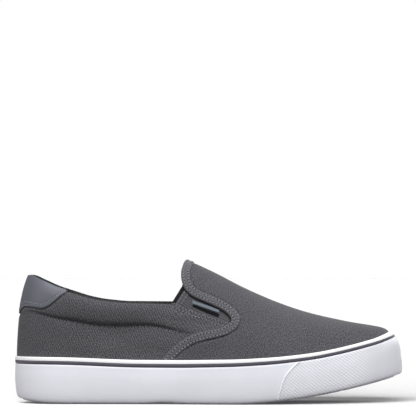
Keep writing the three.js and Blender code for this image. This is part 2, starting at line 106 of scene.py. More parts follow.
def column(*rows):
    """A smooth curve through (share of the length, value) rows that never overshoots them."""
    xs = np.array([row[0] for row in rows]) * LAST_LENGTH
    ys = np.array([row[1] for row in rows], float)
    rises = np.diff(ys) / np.diff(xs)
    slopes = np.concatenate([rises[:1], np.zeros(len(rises) - 1), rises[-1:]])
    for i in range(1, len(rises)):
        a, b = rises[i - 1], rises[i]
        slopes[i] = 0 if a * b <= 0 else 2 * a * b / (a + b)

    def value(x):
        held = np.clip(x, xs[0], xs[-1])
        i = np.clip(np.searchsorted(xs, held) - 1, 0, len(rises) - 1)
        span = xs[i + 1] - xs[i]
        s = (held - xs[i]) / span
        by_value = (2 * s**3 - 3 * s**2 + 1) * ys[i] + (3 * s**2 - 2 * s**3) * ys[i + 1]
        by_slope = (s**3 - 2 * s**2 + s) * slopes[i] + (s**3 - s**2) * slopes[i + 1]
        return by_value + by_slope * span

    return value


spread = column((0.124, 0), (0.25, 0.03), (0.37, 0.13), (0.51, 0.53), (0.62, 0.91),
                (0.69, 1), (0.84, 1), (1, 1))
shift = column((0.124, 0), (0.25, -0.015), (0.37, -0.04), (0.51, -0.03), (0.62, 0),
               (0.69, 0.02), (0.84, 0.075), (1, 0.15))
arch_up = column((0.124, 1.15), (0.29, 1.17), (0.452, 1), (0.519, 0.888), (0.604, 0.718),
                 (0.69, 0.564), (0.754, 0.461), (0.839, 0.336), (0.9, 0.238))
arch_crown = column((0.124, 2), (0.29, 2), (0.452, 2.3), (0.519, 2.3), (0.604, 2.2),
                    (0.69, 2.3), (0.754, 2.7), (0.839, 4), (0.9, 8))
arch_side = column((0.124, 3), (0.29, 1.9), (0.452, 1.9), (0.519, 1.9), (0.604, 2),
                   (0.69, 2.1), (0.754, 2.3), (0.839, 2.9), (0.9, 4))
collar_rise = column((-0.05, 1), (0.041, 1), (0.073, 0.82), (0.113, 0.56), (0.156, 0.36),
                     (0.198, 0.18), (0.241, 0.07), (0.31, 0), (0.413, 0))
seam_down = column((0, 0.46), (0.088, 0.46), (0.153, 0.45), (0.239, 0.443), (0.34, 0.41),
                   (0.46, 0.56))
pad_section = column((0, 0), (0.1, 0.43), (0.2, 0.64), (0.38, 0.85), (0.56, 0.98), (0.66, 1),
                     (0.8, 0.91), (0.92, 0.7), (1, 0.5))
puff_share = column((0, 0.2), (0.1, 0.6), (0.25, 1), (0.33, 0.8), (0.4, 0.42), (0.48, 0))
wall_heel = column((0, 1), (0.12, 0.85), (0.33, 0.06), (0.45, 0), (1, 0))
wall_toe = column((0, 0), (0.42, 0), (0.62, -0.7), (0.7, -0.2), (0.82, 0.85), (0.94, 1),
                  (1, -0.1))
floor_heel = column((0, 1), (0.3, 0.9), (0.66, 0), (1, 0))


def ease(t):
    """0 up to t = 0, 1 from t = 1 on, and a smooth step between."""
    t = np.clip(t, 0, 1)
    return t * t * (3 - 2 * t)


def spring_line(x):
    """How far the toe's spring lifts the sole at x. The lines below are heights at x too."""
    along = np.maximum(0, (x - SPRING_START) / (LAST_LENGTH - SPRING_START))
    return TOE_SPRING * along**SPRING_POWER


def ground_line(x):
    bevel = np.maximum(0, (BEVEL_END - x) / BEVEL_END) ** 3
    arch = np.clip((x - ARCH_START) / (ARCH_END - ARCH_START), 0, 1)
    return spring_line(x) + HEEL_BEVEL * bevel + ARCH_RISE * np.sin(np.pi * arch) ** 2


def top_line(x):
    heel = wall_heel(x) * (WALL_HEEL - WALL_MID)
    return spring_line(x) + WALL_MID + heel + wall_toe(x) * (WALL_TOE - WALL_MID)


def floor_line(x):
    return spring_line(x) + FLOOR_BALL + floor_heel(x) * (FLOOR_HEEL - FLOOR_BALL)


def height_at(x, up):
    return top_line(x) + up * (INSTEP_HEIGHT - top_line(x))


def arch_top(x):
    return height_at(x, arch_up(x))


def collar_line(x):
    return COLLAR_SIDE + collar_rise(x) * (COLLAR_HEEL - COLLAR_SIDE)


def seam_line(x):
    return collar_line(x) - seam_down(x) * (collar_line(x) - top_line(x))


def centre_line(x):
    return shift(x) * BALL_WIDTH / 2


def half_width(x):
    return (HEEL_WIDTH + spread(x) * (BALL_WIDTH - HEEL_WIDTH)) / 2


print("instep, heel and toe heights:", [round(float(f), 1) for f in
      (arch_top(0.452 * LAST_LENGTH), collar_line(0.0), top_line(LAST_LENGTH))])

# %% [markdown]
# ## The last as one surface
# u runs along the outline: 0 at the back of the heel, 1 where its curve ends, 2 at the ball
# and 3 at the tip of the toe. v runs over the foot: 0 at the sole on the outer side, 1 on
# the ridge, 2 at the sole on the inner side. Going on past the heel or the tip comes back
# along the other side, so that slopes can be taken anywhere without a seam.

# %% The surface and its normals
def folded(u, v):
    u, v = np.broadcast_arrays(np.asarray(u, float), np.asarray(v, float))
    past = (u < 0) | (u > 3)
    v = np.where(past, 2 - v, v)
    u = np.where(u < 0, -u, np.where(u > 3, 6 - u, u))
    return u, np.clip(v, 0, 2)


def outline(u, side):
    """Outline point and the place on the ridge that the arch over it rises to."""
    heel, toe = np.clip(u, 0, 1), np.clip(u - 2, 0, 1)
    turn = np.pi / 2 * (1 - heel)
    x_heel = HEEL_CENTRE * (1 - np.sin(turn) ** (2 / HEEL_ROUND))
    half_heel = half_width(HEEL_CENTRE) * np.cos(turn).clip(0) ** (2 / HEEL_ROUND)
    x_mid = HEEL_CENTRE + (TOE_START - HEEL_CENTRE) * np.clip(u - 1, 0, 1)
    turn = np.pi / 2 * toe
    x_toe = TOE_START + (LAST_LENGTH - TOE_START) * np.sin(turn) ** (2 / TOE_ROUND)
    half_toe = half_width(TOE_START) * np.cos(turn).clip(0) ** (2 / TOE_ROUND)
    spine_toe = TOE_START + (TOE_POLE - TOE_START) * np.sin(turn)
    x = np.where(u <= 1, x_heel, np.where(u <= 2, x_mid, x_toe))
    half = np.where(u <= 1, half_heel, np.where(u <= 2, half_width(x_mid), half_toe))
    spine = np.where(u <= 1, HEEL_CENTRE, np.where(u <= 2, x_mid, spine_toe))
    centre = np.where(u <= 1, centre_line(HEEL_CENTRE), centre_line(x))
    return x, centre + side * half, spine


def arch(share, crown, side):
    """Shares of width and height on the rounded arch over the foot, found by halving."""
    angle = np.pi / 2 * share**ARCH_CROWDING
    cosine, sine = np.cos(angle), np.sin(angle)
    low, high = np.zeros_like(angle), np.full_like(angle, math.sqrt(2))
    for _ in range(34):
        reach = (low + high) / 2
        inside = (reach * cosine) ** crown + (reach * sine) ** side < 1
        low, high = np.where(inside, reach, low), np.where(inside, high, reach)
    return low * cosine, low * sine


def last_point(u, v):
    u, v = folded(u, v)
    side = np.where(v <= 1, -1.0, 1.0)
    share = np.where(v <= 1, v, 2 - v)
    x0, y0, spine = outline(u, side)
    across, up = arch(share, arch_crown(spine), arch_side(spine))
    x = spine + (x0 - spine) * across
    y = centre_line(spine) + (y0 - centre_line(spine)) * across
    base, top = floor_line(x0), arch_top(spine)
    slope = arch_top(spine) - arch_top(spine - 1)
    lean = np.where(spine >= TOE_START, slope * (x0 - spine), 0)
    z = (base - lean) * (1 - up) + top * up + lean * across
    return np.stack([x, y, z], -1)


def last_frame(u, v):
    """The point, the slopes along u and v, and the outward normal."""
    step = 2e-3
    v = np.clip(v, step, 2 - step)
    along = (last_point(u + step, v) - last_point(u - step, v)) / (2 * step)
    over = (last_point(u, v + step) - last_point(u, v - step)) / (2 * step)
    normal = np.cross(along, over)
    normal /= np.linalg.norm(normal, axis=-1, keepdims=True).clip(1e-9)
    return last_point(u, v), along, over, normal


def skin(u, v, offset):
    """A point on the last, moved out by an offset in millimetres."""
    point, _, _, normal = last_frame(u, v)
    return point + normal * np.asarray(offset)[..., None]


def u_at(x):
    """u from x, in front of the heel's curve."""
    x = np.asarray(x, float)
    mid = 1 + (x - HEEL_CENTRE) / (TOE_START - HEEL_CENTRE)
    ahead = np.clip((x - TOE_START) / (LAST_LENGTH - TOE_START), 0, 1)
    toe = 2 + np.arcsin(ahead ** (TOE_ROUND / 2)) / (np.pi / 2)
    return np.where(x <= TOE_START, mid, toe)


def v_at(x, z):
    """v on the outer side from a height, between the heel's curve and the ball."""
    x, z = np.asarray(x, float), np.asarray(z, float)
    up = np.clip((z - floor_line(x)) / (arch_top(x) - floor_line(x)), 0, 1)
    across = np.clip(1 - up ** arch_side(x), 0, 1) ** (1 / arch_crown(x))
    return (np.arctan2(up, across) / (np.pi / 2)) ** (1 / ARCH_CROWDING)


def v_on(u, line):
    """v on the outer side where the surface at u crosses the side-view line z = line(x)."""
    low, high = np.zeros_like(u), np.ones_like(u)
    for _ in range(26):
        v = (low + high) / 2
        p = last_point(u, v)
        under = p[..., 2] < line(p[..., 0])
        low, high = np.where(under, v, low), np.where(under, high, v)
    return v


def padding(point):
    """Fullness of the collar's padding at a point, 0 at its seam and 1 where it is full.
    It swells like the underside of a cushion and thins slowly towards the topline."""
    x, z = point[..., 0], point[..., 2]
    above = z - seam_line(x)
    high = np.clip(above / (collar_line(x) - seam_line(x)), 0, 1)
    full = pad_section(high * LAST_LENGTH) * puff_share(x) * ease((x + 4) / 34)
    return np.where(above > 0, full, 0)


def smooth_line(points, count):
    """Points spaced evenly along a centripetal curve through the given ones."""
    p = np.array(points, float)
    p = np.vstack([2 * p[0] - p[1], p, 2 * p[-1] - p[-2]])
    out = []
    for i in range(1, len(p) - 2):
        t = np.linspace(0, 1, 24, endpoint=False)[:, None]
        knots = [0.0]
        for k in range(i - 1, i + 2):
            knots.append(knots[-1] + max(np.linalg.norm(p[k + 1] - p[k]), 1e-6) ** 0.5)
        t = knots[1] + t * (knots[2] - knots[1])

        def mix(a, b, ta, tb):
            return ((tb - t) * a + (t - ta) * b) / (tb - ta)

        a1 = mix(p[i - 1], p[i], knots[0], knots[1])
        a2 = mix(p[i], p[i + 1], knots[1], knots[2])
        a3 = mix(p[i + 1], p[i + 2], knots[2], knots[3])
        b1, b2 = mix(a1, a2, knots[0], knots[2]), mix(a2, a3, knots[1], knots[3])
        out.append(mix(b1, b2, knots[1], knots[2]))
    out.append(p[-2:-1])
    return even(np.vstack(out), count)


def even(line, count):
    """The same line with count points at equal distances."""
    steps = np.linalg.norm(np.diff(line, axis=0), axis=1)
    at = np.concatenate([[0], np.cumsum(steps)])
    wanted = np.linspace(0, at[-1], count)
    return np.stack([np.interp(wanted, at, line[:, k]) for k in range(line.shape[1])], -1)


print("side of the ball at", last_point(2.0, 0.0).round(1))

# %% [markdown]
# ## Meshes from grids
# A cloth panel is a grid of points with a second grid under it for its thickness, joined at
# the rim. The map of each panel is in millimetres, so that a weave keeps one scale on all.

# %% Mesh helpers
def make_piece(name, points, faces, material, replaces, uv=None):
    """A smooth mesh from points in millimetres, riding the shoe's one body."""
    data = bpy.data.meshes.new(name)
    data.from_pydata(((np.asarray(points) - ORIGIN) / 1000).tolist(), [], faces)
    if uv is not None:
        layer = data.uv_layers.new(name="cloth_mm")
        corners = np.empty(len(data.loops), int)
        data.loops.foreach_get("vertex_index", corners)
        layer.data.foreach_set("uv", np.asarray(uv, float)[corners].ravel())
    data.polygons.foreach_set("use_smooth", [True] * len(data.polygons))
    data.validate()
    data.update()
    data.materials.append(material)
    piece = bpy.data.objects.new(name, data)
    bpy.context.scene.collection.objects.link(piece)
    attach(piece, "root")
    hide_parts(*replaces)
    print(f"{name}: {sum(len(f) - 2 for f in faces)} triangles")
    return piece


def turned_over(faces):
    return [tuple(reversed(face)) for face in faces]


def grid_faces(rows, cols, wrap_rows=False, wrap_cols=False, first=0):
    """Quads of a grid, seen with rows running right and columns running up."""
    faces = []
    for i in range(rows if wrap_rows else rows - 1):
        for j in range(cols if wrap_cols else cols - 1):
            a, b = i * cols + j, ((i + 1) % rows) * cols + j
            c, d = ((i + 1) % rows) * cols + (j + 1) % cols, i * cols + (j + 1) % cols
            faces.append((first + a, first + b, first + c, first + d))
    return faces


def shell_faces(rows, cols, flip=False):
    """An outer grid and an inner grid joined round the rim."""
    n = rows * cols
    loop = [i * cols for i in range(rows)]
    loop += [(rows - 1) * cols + j for j in range(1, cols)]
    loop += [i * cols + cols - 1 for i in range(rows - 2, -1, -1)]
    loop += [j for j in range(cols - 2, 0, -1)]
    walls = [(b, a, a + n, b + n) for a, b in zip(loop, loop[1:] + loop[:1])]
    faces = grid_faces(rows, cols) + turned_over(grid_faces(rows, cols, first=n)) + walls
    return turned_over(faces) if flip else faces


def cloth_map(points, rows, cols):
    """Distances along a grid's middle row and up its columns, in millimetres."""
    grid = np.asarray(points).reshape(rows, cols, 3)
    along = np.linalg.norm(np.diff(grid[:, cols // 2], axis=0), axis=1)
    up = np.linalg.norm(np.diff(grid, axis=1), axis=2)
    u = np.concatenate([[0], np.cumsum(along)])[:, None].repeat(cols, 1)
    v = np.concatenate([np.zeros((rows, 1)), np.cumsum(up, 1)], 1)
    return np.stack([u, v], -1).reshape(-1, 2)


def cloth_shell(name, u, v, out, under, material, slot, replaces, flip=False):
    """A sheet over a grid of places on the last, from one offset down to another."""
    outer, inner = skin(u, v, out), skin(u, v, under)
    rows, cols = outer.shape[:2]
    uv = cloth_map(outer, rows, cols)
    points = np.vstack([outer.reshape(-1, 3), inner.reshape(-1, 3)])
    faces = shell_faces(rows, cols, flip)
    return make_piece(name, points, faces, material, replaces, np.vstack([uv, uv]))


# %% [markdown]
# ## Shader groups
# Cloth is dull and takes its look from the weave, rubber is smooth and a little glossy.
# What several materials share is made once as a group: a twill weave with a speckle of
# lighter yarns, and a grain. A picture of cloth could be laid on instead, but it would show
# its seams and one size of thread. Groups give out numbers, and each material has its shader.

# %% Shader groups
def open_group(tree, inputs, outputs):
    """Gives a tree its sockets. Returns its input and output nodes."""
    for label, kind, value in inputs:
        socket = tree.interface.new_socket(label, in_out="INPUT", socket_type=kind)
        if value is not None:
            socket.default_value = value
    for label, kind in outputs:
        tree.interface.new_socket(label, in_out="OUTPUT", socket_type=kind)
    return tree.nodes.new("NodeGroupInput"), tree.nodes.new("NodeGroupOutput")


def new_group(name, inputs, outputs):
    tree = bpy.data.node_groups.new(name, "ShaderNodeTree")
    return tree, *open_group(tree, inputs, outputs)


class Wires:
    """Short ways to add nodes to one tree."""

    def __init__(self, tree):
        self.tree = tree

    def put(self, kind, sockets=(), **settings):
        node = self.tree.nodes.new(kind)
        for key, value in settings.items():
            setattr(node, key, value)
        for key, value in dict(sockets).items():
            self.set(node.inputs[key], value)
        return node

    def set(self, socket, value):
        if isinstance(value, bpy.types.NodeSocket):
            self.tree.links.new(value, socket)
        else:
            socket.default_value = value

    def math(self, operation, a, b=0.0, clamp=False):
        node = self.put("ShaderNodeMath", {0: a, 1: b}, operation=operation, use_clamp=clamp)
        return node.outputs[0]

    def mix(self, share, a, b):
        node = self.put("ShaderNodeMix", data_type="RGBA")
        self.set(node.inputs[0], share)
        self.set(node.inputs[6], a)
        self.set(node.inputs[7], b)
        return node.outputs[2]

    def span(self, value, low, high, to_low=0.0, to_high=1.0, kind="LINEAR"):
        sockets = {0: value, 1: low, 2: high, 3: to_low, 4: to_high}
        return self.put("ShaderNodeMapRange", sockets, interpolation_type=kind).outputs[0]

    def noise(self, vector, scale, **sockets):
        sockets = {"Vector": vector, "Scale": scale, **sockets}
        return self.put("ShaderNodeTexNoise", sockets).outputs[0]

    def times(self, tone, shade):
        node = self.put("ShaderNodeVectorMath", {0: tone, 1: shade}, operation="MULTIPLY")
        return node.outputs[0]

    def finish(self, shader, tone, height, strength):
        """Gives a shader its colour and a bump of a fifth of a millimetre."""
        sockets = {"Height": height, "Strength": strength, "Distance": 0.0002}
        self.set(shader.inputs["Base Color"], tone)
        self.set(shader.inputs["Normal"], self.put("ShaderNodeBump", sockets).outputs[0])


def twill_group():
    """Leaning ribs crossed by threads, on a map in millimetres. Lean turns the ribs."""
    tree, given, out = new_group("twill weave", [
        ("Vector", "NodeSocketVector", None), ("Pitch", "NodeSocketFloat", 1.7),
        ("Lean", "NodeSocketFloat", 0.8)],
        [("Height", "NodeSocketFloat"), ("Speckle", "NodeSocketFloat")])
    w = Wires(tree)
    place, lean = given.outputs["Vector"], given.outputs["Lean"]
    x, y, _ = w.put("ShaderNodeSeparateXYZ", {0: place}).outputs
    wobble = w.noise(place, 0.2, Detail=2.0)
    along = w.math("MULTIPLY", x, w.math("COSINE", lean))
    up = w.math("MULTIPLY", y, w.math("SINE", lean))
    across = w.math("ADD", w.math("ADD", along, up), w.math("MULTIPLY", wobble, 1.5))
    per_mm = w.math("DIVIDE", 2 * math.pi, given.outputs["Pitch"])
    rib = w.math("SINE", w.math("MULTIPLY", across, per_mm))
    thread = w.math("SINE", w.math("MULTIPLY", x, w.math("MULTIPLY", per_mm, 2.3)))
    w.set(out.inputs["Height"], w.math("ADD", rib, w.math("MULTIPLY", thread, 0.3)))
    yarn = w.noise(place, 1.25, Detail=3.0, Roughness=0.7)
    w.set(out.inputs["Speckle"], w.span(yarn, 0.3, 0.7))
    return tree


def grain_group():
    """Fine and broad unevenness on Object coordinates, in metres."""
    tree, given, out = new_group("fine grain", [
        ("Vector", "NodeSocketVector", None), ("Size", "NodeSocketFloat", 0.001)],
        [("Fine", "NodeSocketFloat"), ("Broad", "NodeSocketFloat")])
    w = Wires(tree)
    place, size = given.outputs["Vector"], given.outputs["Size"]
    fine = w.noise(place, w.math("DIVIDE", 1.0, size), Detail=4.0, Roughness=0.6)
    broad = w.noise(place, w.math("DIVIDE", 0.06, size), Detail=3.0)
    w.set(out.inputs["Fine"], fine)
    w.set(out.inputs["Broad"], broad)
    return tree


TWILL = twill_group()
GRAIN = grain_group()


# %% [markdown]
# ## Cloth and rubber
# Two functions make every material of the shoe. Cloth mixes a dark and a light yarn on a map
# in millimetres, so a weave keeps its scale on every panel. Rubber and leather are one colour
# with a little mottling. A material of its own for each piece would repeat the same nodes.

# %% Materials of cloth and of rubber
def colour(red, green, blue):
    """A colour given in 0 to 255 as a screen shows it, in the renderer's linear values."""
    def linear(c):
        c = c / 255
        return c / 12.92 if c <= 0.04045 else ((c + 0.055) / 1.055) ** 2.4
    return (linear(red), linear(green), linear(blue), 1.0)


def scaled(tone, factor):
    return tuple(c * factor for c in tone[:3]) + (1,)


def start_material(name, **sockets):
    material = bpy.data.materials.new(name)
    material.use_nodes = True
    w = Wires(material.node_tree)
    shader = material.node_tree.nodes["Principled BSDF"]
    for key, value in sockets.items():
        shader.inputs[key.replace("_", " ")].default_value = value
    return material, w, shader


def grain_on(w, size):
    """The grain's outputs on a piece's own coordinates."""
    grain = w.put("ShaderNodeGroup", node_tree=GRAIN)
    w.set(grain.inputs["Vector"], w.put("ShaderNodeTexCoord").outputs["Object"])
    grain.inputs["Size"].default_value = size
    return grain.outputs["Fine"], grain.outputs["Broad"]


def canvas_material(name, base, contrast=0.16, pitch=0.9, lean=45, depth=0.35, sheen=0.25,
                    ribbed=0.0):
    """Woven cloth. Pitch is millimetres between ribs, lean is degrees, and ribbed is the
    share of its contrast that follows the ribs' height as painted shade, not the yarns."""
    material, w, shader = start_material(name, Roughness=0.92, Sheen_Weight=sheen,
                                         Sheen_Roughness=0.5, Specular_IOR_Level=0.25)
    weave = w.put("ShaderNodeGroup", node_tree=TWILL)
    w.set(weave.inputs["Vector"], w.put("ShaderNodeUVMap", uv_map="cloth_mm").outputs[0])
    weave.inputs["Pitch"].default_value = pitch
    weave.inputs["Lean"].default_value = math.radians(lean)
    height, speckle = weave.outputs["Height"], weave.outputs["Speckle"]
    fine, broad = grain_on(w, 0.0011)
    yarns = w.math("ADD", w.math("MULTIPLY", speckle, 0.7 * (1 - ribbed)),
                   w.math("MULTIPLY", fine, 0.3 * (1 - ribbed)))
    # Painted shade: the ribbed share of the tone is darker in the weave's hollows and lighter on
    # its crests.
    ribs = w.math("MULTIPLY", w.span(height, -1.3, 1.3), ribbed)
    dark, light = scaled(base, (1 - contrast) ** 2), scaled(base, (1 + contrast) ** 2)
    tone = w.mix(w.span(w.math("ADD", yarns, ribs), 0.25, 0.75), dark, light)
    # Painted shade and light: the colour is multiplied down in the hollows and up on the crests.
    shade = w.span(height, -1.3, 1.3, 0.84, 1.1)
    worn = w.span(broad, 0.3, 0.7, 0.96, 1.05)
    w.finish(shader, w.times(tone, w.math("MULTIPLY", shade, worn)), height, depth)
    return material


def rubber_material(name, base, gloss=0.45, mottling=0.03, pattern=None):
    """Rubber, leather or thread. A pattern adds its relief's nodes and painted shade in its
    grooves.
    """
    material, w, shader = start_material(name, Specular_IOR_Level=0.4)
    fine, broad = grain_on(w, 0.0016)
    tone = w.mix(w.span(broad, 0.35, 0.65, kind="SMOOTHSTEP"), scaled(base, 1 - mottling), base)
    roughness = w.span(broad, 0.3, 0.7, gloss, gloss + 0.12, kind="SMOOTHSTEP")
    w.set(shader.inputs["Roughness"], roughness)
    height = w.math("MULTIPLY", fine, 0.25)
    if pattern:
        relief = pattern(w)
        height = w.math("ADD", height, w.math("MULTIPLY", relief, 2.5))
        # Painted shade: the relief's grooves are darker in colour, its raised parts a little
        # lighter.
        tone = w.times(tone, w.span(relief, 0.0, 0.8, 0.8, 1.03))
    w.finish(shader, tone, height, 0.35)
    return material


# %% [markdown]
# ## The shoe's materials
# Every colour is read by eye from the photograph and then corrected against the render, piece
# by piece. The lean and the pitch of a twill are those of the photograph's own pattern. The
# bumper's diamonds are a relief in its rubber: cut as shapes they would be thousands of faces.

# %% Colours of cloth, leather, thread and rubber
CANVAS = canvas_material("charcoal canvas", colour(69, 68, 71), contrast=0.6, pitch=1.72,
                         lean=156, sheen=0.05, ribbed=0.1)
VAMP_CANVAS = canvas_material("vamp canvas", colour(71, 70, 74), contrast=0.44, pitch=1.3,
                              lean=24, sheen=0.05)
LINING = canvas_material("dark lining", colour(25, 25, 27), contrast=0.1, pitch=0.7, sheen=0.0)
TAPE = canvas_material("binding tape", colour(82, 81, 86), contrast=0.36, pitch=1.13, lean=90)
ELASTIC = canvas_material("elastic webbing", colour(75, 74, 78), contrast=0.12, pitch=1.82,
                          lean=81, depth=0.6)
FOOTBED = canvas_material("footbed cloth", colour(60, 60, 63), contrast=0.1, pitch=0.8)
TAG = canvas_material("tag weave", colour(101, 110, 118), contrast=0.06, pitch=0.7, lean=90)
# Near-black: painted shade in the slit under the tag's fold.
TAG_SHADE_LEAF = canvas_material("tag fold shade", colour(14, 14, 16), contrast=0.05, pitch=0.7, lean=90,
                           sheen=0.0)
LEATHER = rubber_material("patch leather", colour(97, 99, 108), gloss=0.36, mottling=0.1)
# Near-black: painted shade of the needle holes.
HOLE_SHADE = rubber_material("needle hole painted shade", colour(28, 28, 30), gloss=0.9)
THREAD = rubber_material("thread", colour(150, 148, 154), gloss=0.7, mottling=0.2)
DARK_THREAD = rubber_material("dark thread", colour(92, 91, 96), gloss=0.7, mottling=0.2)
WHITE_RUBBER = rubber_material("white rubber", colour(238, 238, 246))
BAND_RUBBER = rubber_material("band rubber", colour(250, 250, 251), gloss=0.4)
STRIPE_RUBBER = rubber_material("stripe rubber", colour(88, 85, 97), gloss=0.45)


DIAMOND = 2.6  # millimetres from one raised line to the next


def crosshatch(w):
    """Raised diamonds on the cap's own map, fading out near the tip of the toe."""
    uv = w.put("ShaderNodeUVMap", uv_map="cloth_mm").outputs[0]
    along, up, _ = w.put("ShaderNodeSeparateXYZ", {0: uv}).outputs
    lines = []
    for sign in (1.0, -1.0):
        slanted = w.math("ADD", along, w.math("MULTIPLY", up, sign))
        wave = w.math("SINE", w.math("MULTIPLY", slanted, math.pi / DIAMOND))
        lines.append(w.math("ABSOLUTE", wave))
    diamonds = w.math("POWER", w.math("MULTIPLY", lines[0], lines[1]), 0.6)
    place = w.put("ShaderNodeTexCoord").outputs["Object"]
    x = w.put("ShaderNodeSeparateXYZ", {0: place}).outputs[0]
    fading = w.span(x, 0.108, 0.13, 1.0, 0.0, kind="SMOOTHSTEP")
    return w.math("MULTIPLY", diamonds, fading)


BUMPER_RUBBER = rubber_material("bumper rubber", colour(243, 243, 251), pattern=crosshatch)
TREAD_RUBBER = rubber_material("tread rubber", colour(214, 214, 220), gloss=0.6, mottling=0.1)

# %% [markdown]
# ## Stitches
# A row of stitches follows a seam at one pitch, each thread lying in the surface. Geometry
# Nodes fit that: the seam is a line of points that carry the surface's direction, the tree
# spaces stitches along it and lays a small padded thread at each.

# %% The tree that lays a row of stitches
def number_inputs(node):
    return [i for i in node.inputs if i.enabled and i.type == "VALUE"]


def beads(w, places, size, rotation, material, segments, rings):
    """A stretched ball at each point of a curve: a stitch, or a dark ball of painted shade where a
    needle went.
    """
    ball = w.put("GeometryNodeMeshUVSphere",
                 {"Segments": segments, "Rings": rings, "Radius": 0.5}).outputs[0]
    scale = w.put("ShaderNodeCombineXYZ", dict(enumerate(size))).outputs[0]
    bead = w.put("GeometryNodeTransform", {0: ball, "Scale": scale}).outputs[0]
    laid = w.put("GeometryNodeInstanceOnPoints", {0: places.outputs[0], "Instance": bead,
                                                  "Rotation": rotation.outputs[0]})
    real = w.put("GeometryNodeRealizeInstances", {0: laid.outputs[0]})
    return w.put("GeometryNodeSetMaterial", {0: real.outputs[0], "Material": material}).outputs[0]


def stitch_tree():
    tree = bpy.data.node_groups.new("row of stitches", "GeometryNodeTree")
    inputs = [("Seam", "NodeSocketGeometry", None), ("Pitch", "NodeSocketFloat", 0.0027),
              ("Length", "NodeSocketFloat", 0.0019), ("Thickness", "NodeSocketFloat", 0.0006),
              ("Turn", "NodeSocketFloat", 0.0), ("Seed", "NodeSocketInt", 3),
              ("Thread", "NodeSocketMaterial", None), ("Hole", "NodeSocketMaterial", None),
              ("Hole Size", "NodeSocketFloat", 0.0008)]
    given, out = open_group(tree, inputs, [("Stitches", "NodeSocketGeometry")])
    w = Wires(tree)
    curve = w.put("GeometryNodeMeshToCurve", {0: given.outputs["Seam"]})
    spaced = w.put("GeometryNodeResampleCurve", {0: curve.outputs[0]})
    spaced.mode = "LENGTH"
    w.set(spaced.inputs["Length"], given.outputs["Pitch"])
    facing = w.put("GeometryNodeInputNamedAttribute", data_type="FLOAT_VECTOR")
    facing.inputs["Name"].default_value = "surface"
    tangent = w.put("GeometryNodeInputTangent")
    axes = w.put("FunctionNodeAxesToRotation", primary_axis="Z", secondary_axis="X")
    w.set(axes.inputs[0], facing.outputs[0])
    w.set(axes.inputs[1], tangent.outputs[0])
    yaw = w.put("FunctionNodeRandomValue", data_type="FLOAT")
    for socket, value in zip(number_inputs(yaw), (-0.09, 0.09)):
        socket.default_value = value
    w.set([i for i in yaw.inputs if i.name == "Seed"][0], given.outputs["Seed"])
    noise = [o for o in yaw.outputs if o.enabled][0]
    turned = w.math("ADD", noise, given.outputs["Turn"])
    spin = w.put("ShaderNodeCombineXYZ", {2: turned})
    turn = w.put("FunctionNodeEulerToRotation", {0: spin.outputs[0]})
    whole = w.put("FunctionNodeRotateRotation", {0: axes.outputs[0], 1: turn.outputs[0]})
    whole.rotation_space = "LOCAL"
    flat = w.math("MULTIPLY", given.outputs["Thickness"], 0.8)
    thread = (given.outputs["Length"], given.outputs["Thickness"], flat)
    threads = beads(w, spaced, thread, whole, given.outputs["Thread"], 10, 6)
    half = w.math("MULTIPLY", given.outputs["Pitch"], 0.5)
    whole_length = w.put("GeometryNodeCurveLength", {0: curve.outputs[0]})
    end = w.math("SUBTRACT", whole_length.outputs[0], half)
    cut = w.put("GeometryNodeTrimCurve", {0: curve.outputs[0]})
    cut.mode = "LENGTH"
    for socket, value in zip(number_inputs(cut), (half, end)):
        w.set(socket, value)
    between = w.put("GeometryNodeResampleCurve", {0: cut.outputs[0]})
    between.mode = "LENGTH"
    w.set(between.inputs["Length"], given.outputs["Pitch"])
    wide = given.outputs["Hole Size"]
    pit = (wide, wide, w.math("MULTIPLY", wide, 0.6))
    # The needle holes are dark balls in the hole material: painted shade.
    holes = beads(w, between, pit, axes, given.outputs["Hole"], 8, 5)
    joined = w.put("GeometryNodeJoinGeometry")
    tree.links.new(threads, joined.inputs[0])
    tree.links.new(holes, joined.inputs[0])
    shaded = w.put("GeometryNodeSetShadeSmooth", {0: joined.outputs[0]})
    w.set(out.inputs[0], shaded.outputs[0])
    return tree


STITCHES = stitch_tree()


def seam_piece(name, lines, replaces, **values):
    """Plain mesh of the stitches along lines of (points, normals), in millimetres."""
    points, edges, normals = [], [], []
    for line, facing in lines:
        first = len(points)
        points += ((line - ORIGIN) / 1000).tolist()
        normals += facing.tolist()
        edges += [(first + i, first + i + 1) for i in range(len(line) - 1)]
    data = bpy.data.meshes.new(name + "_seam")
    data.from_pydata(points, edges, [])
    data.attributes.new("surface", "FLOAT_VECTOR", "POINT").data.foreach_set(
        "vector", np.array(normals, np.float32).ravel())
    seam = bpy.data.objects.new(name + "_seam", data)
    bpy.context.scene.collection.objects.link(seam)
    modifier = seam.modifiers.new("stitches", "NODES")
    sockets = {i.name: i.identifier for i in STITCHES.interface.items_tree if i.in_out == "INPUT"}
    modifier.node_group = STITCHES
    for key, value in {"Hole": HOLE_SHADE, **values}.items():
        modifier[sockets[key.replace("_", " ")]] = value
    shown = seam.evaluated_get(bpy.context.evaluated_depsgraph_get())
    made = bpy.data.meshes.new_from_object(shown)
    bpy.data.objects.remove(seam)
    made.name = name
    piece = bpy.data.objects.new(name, made)
    bpy.context.scene.collection.objects.link(piece)
    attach(piece, "root")
    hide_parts(*replaces)
    print(f"{name}: {len(made.polygons)} faces of thread")


def seam_line_on(u, v, offset):
    """Points over the last and the direction that faces out there."""
    point, _, _, normal = last_frame(u, v)
    return point + normal * np.asarray(offset)[..., None], normal


# %% [markdown]
# ## The free edge of the vamp
# The vamp is the front panel. Its rear edge rises from the sole, runs forward under the
# elastic, turns back round its tip and climbs to the instep. The edge is drawn on the outer
# side as heights seen from the side, and mirrored over the ridge. A curve object could hold
# it, but as (u, v) places it can be walked sideways over the last, which tape and stitches need.

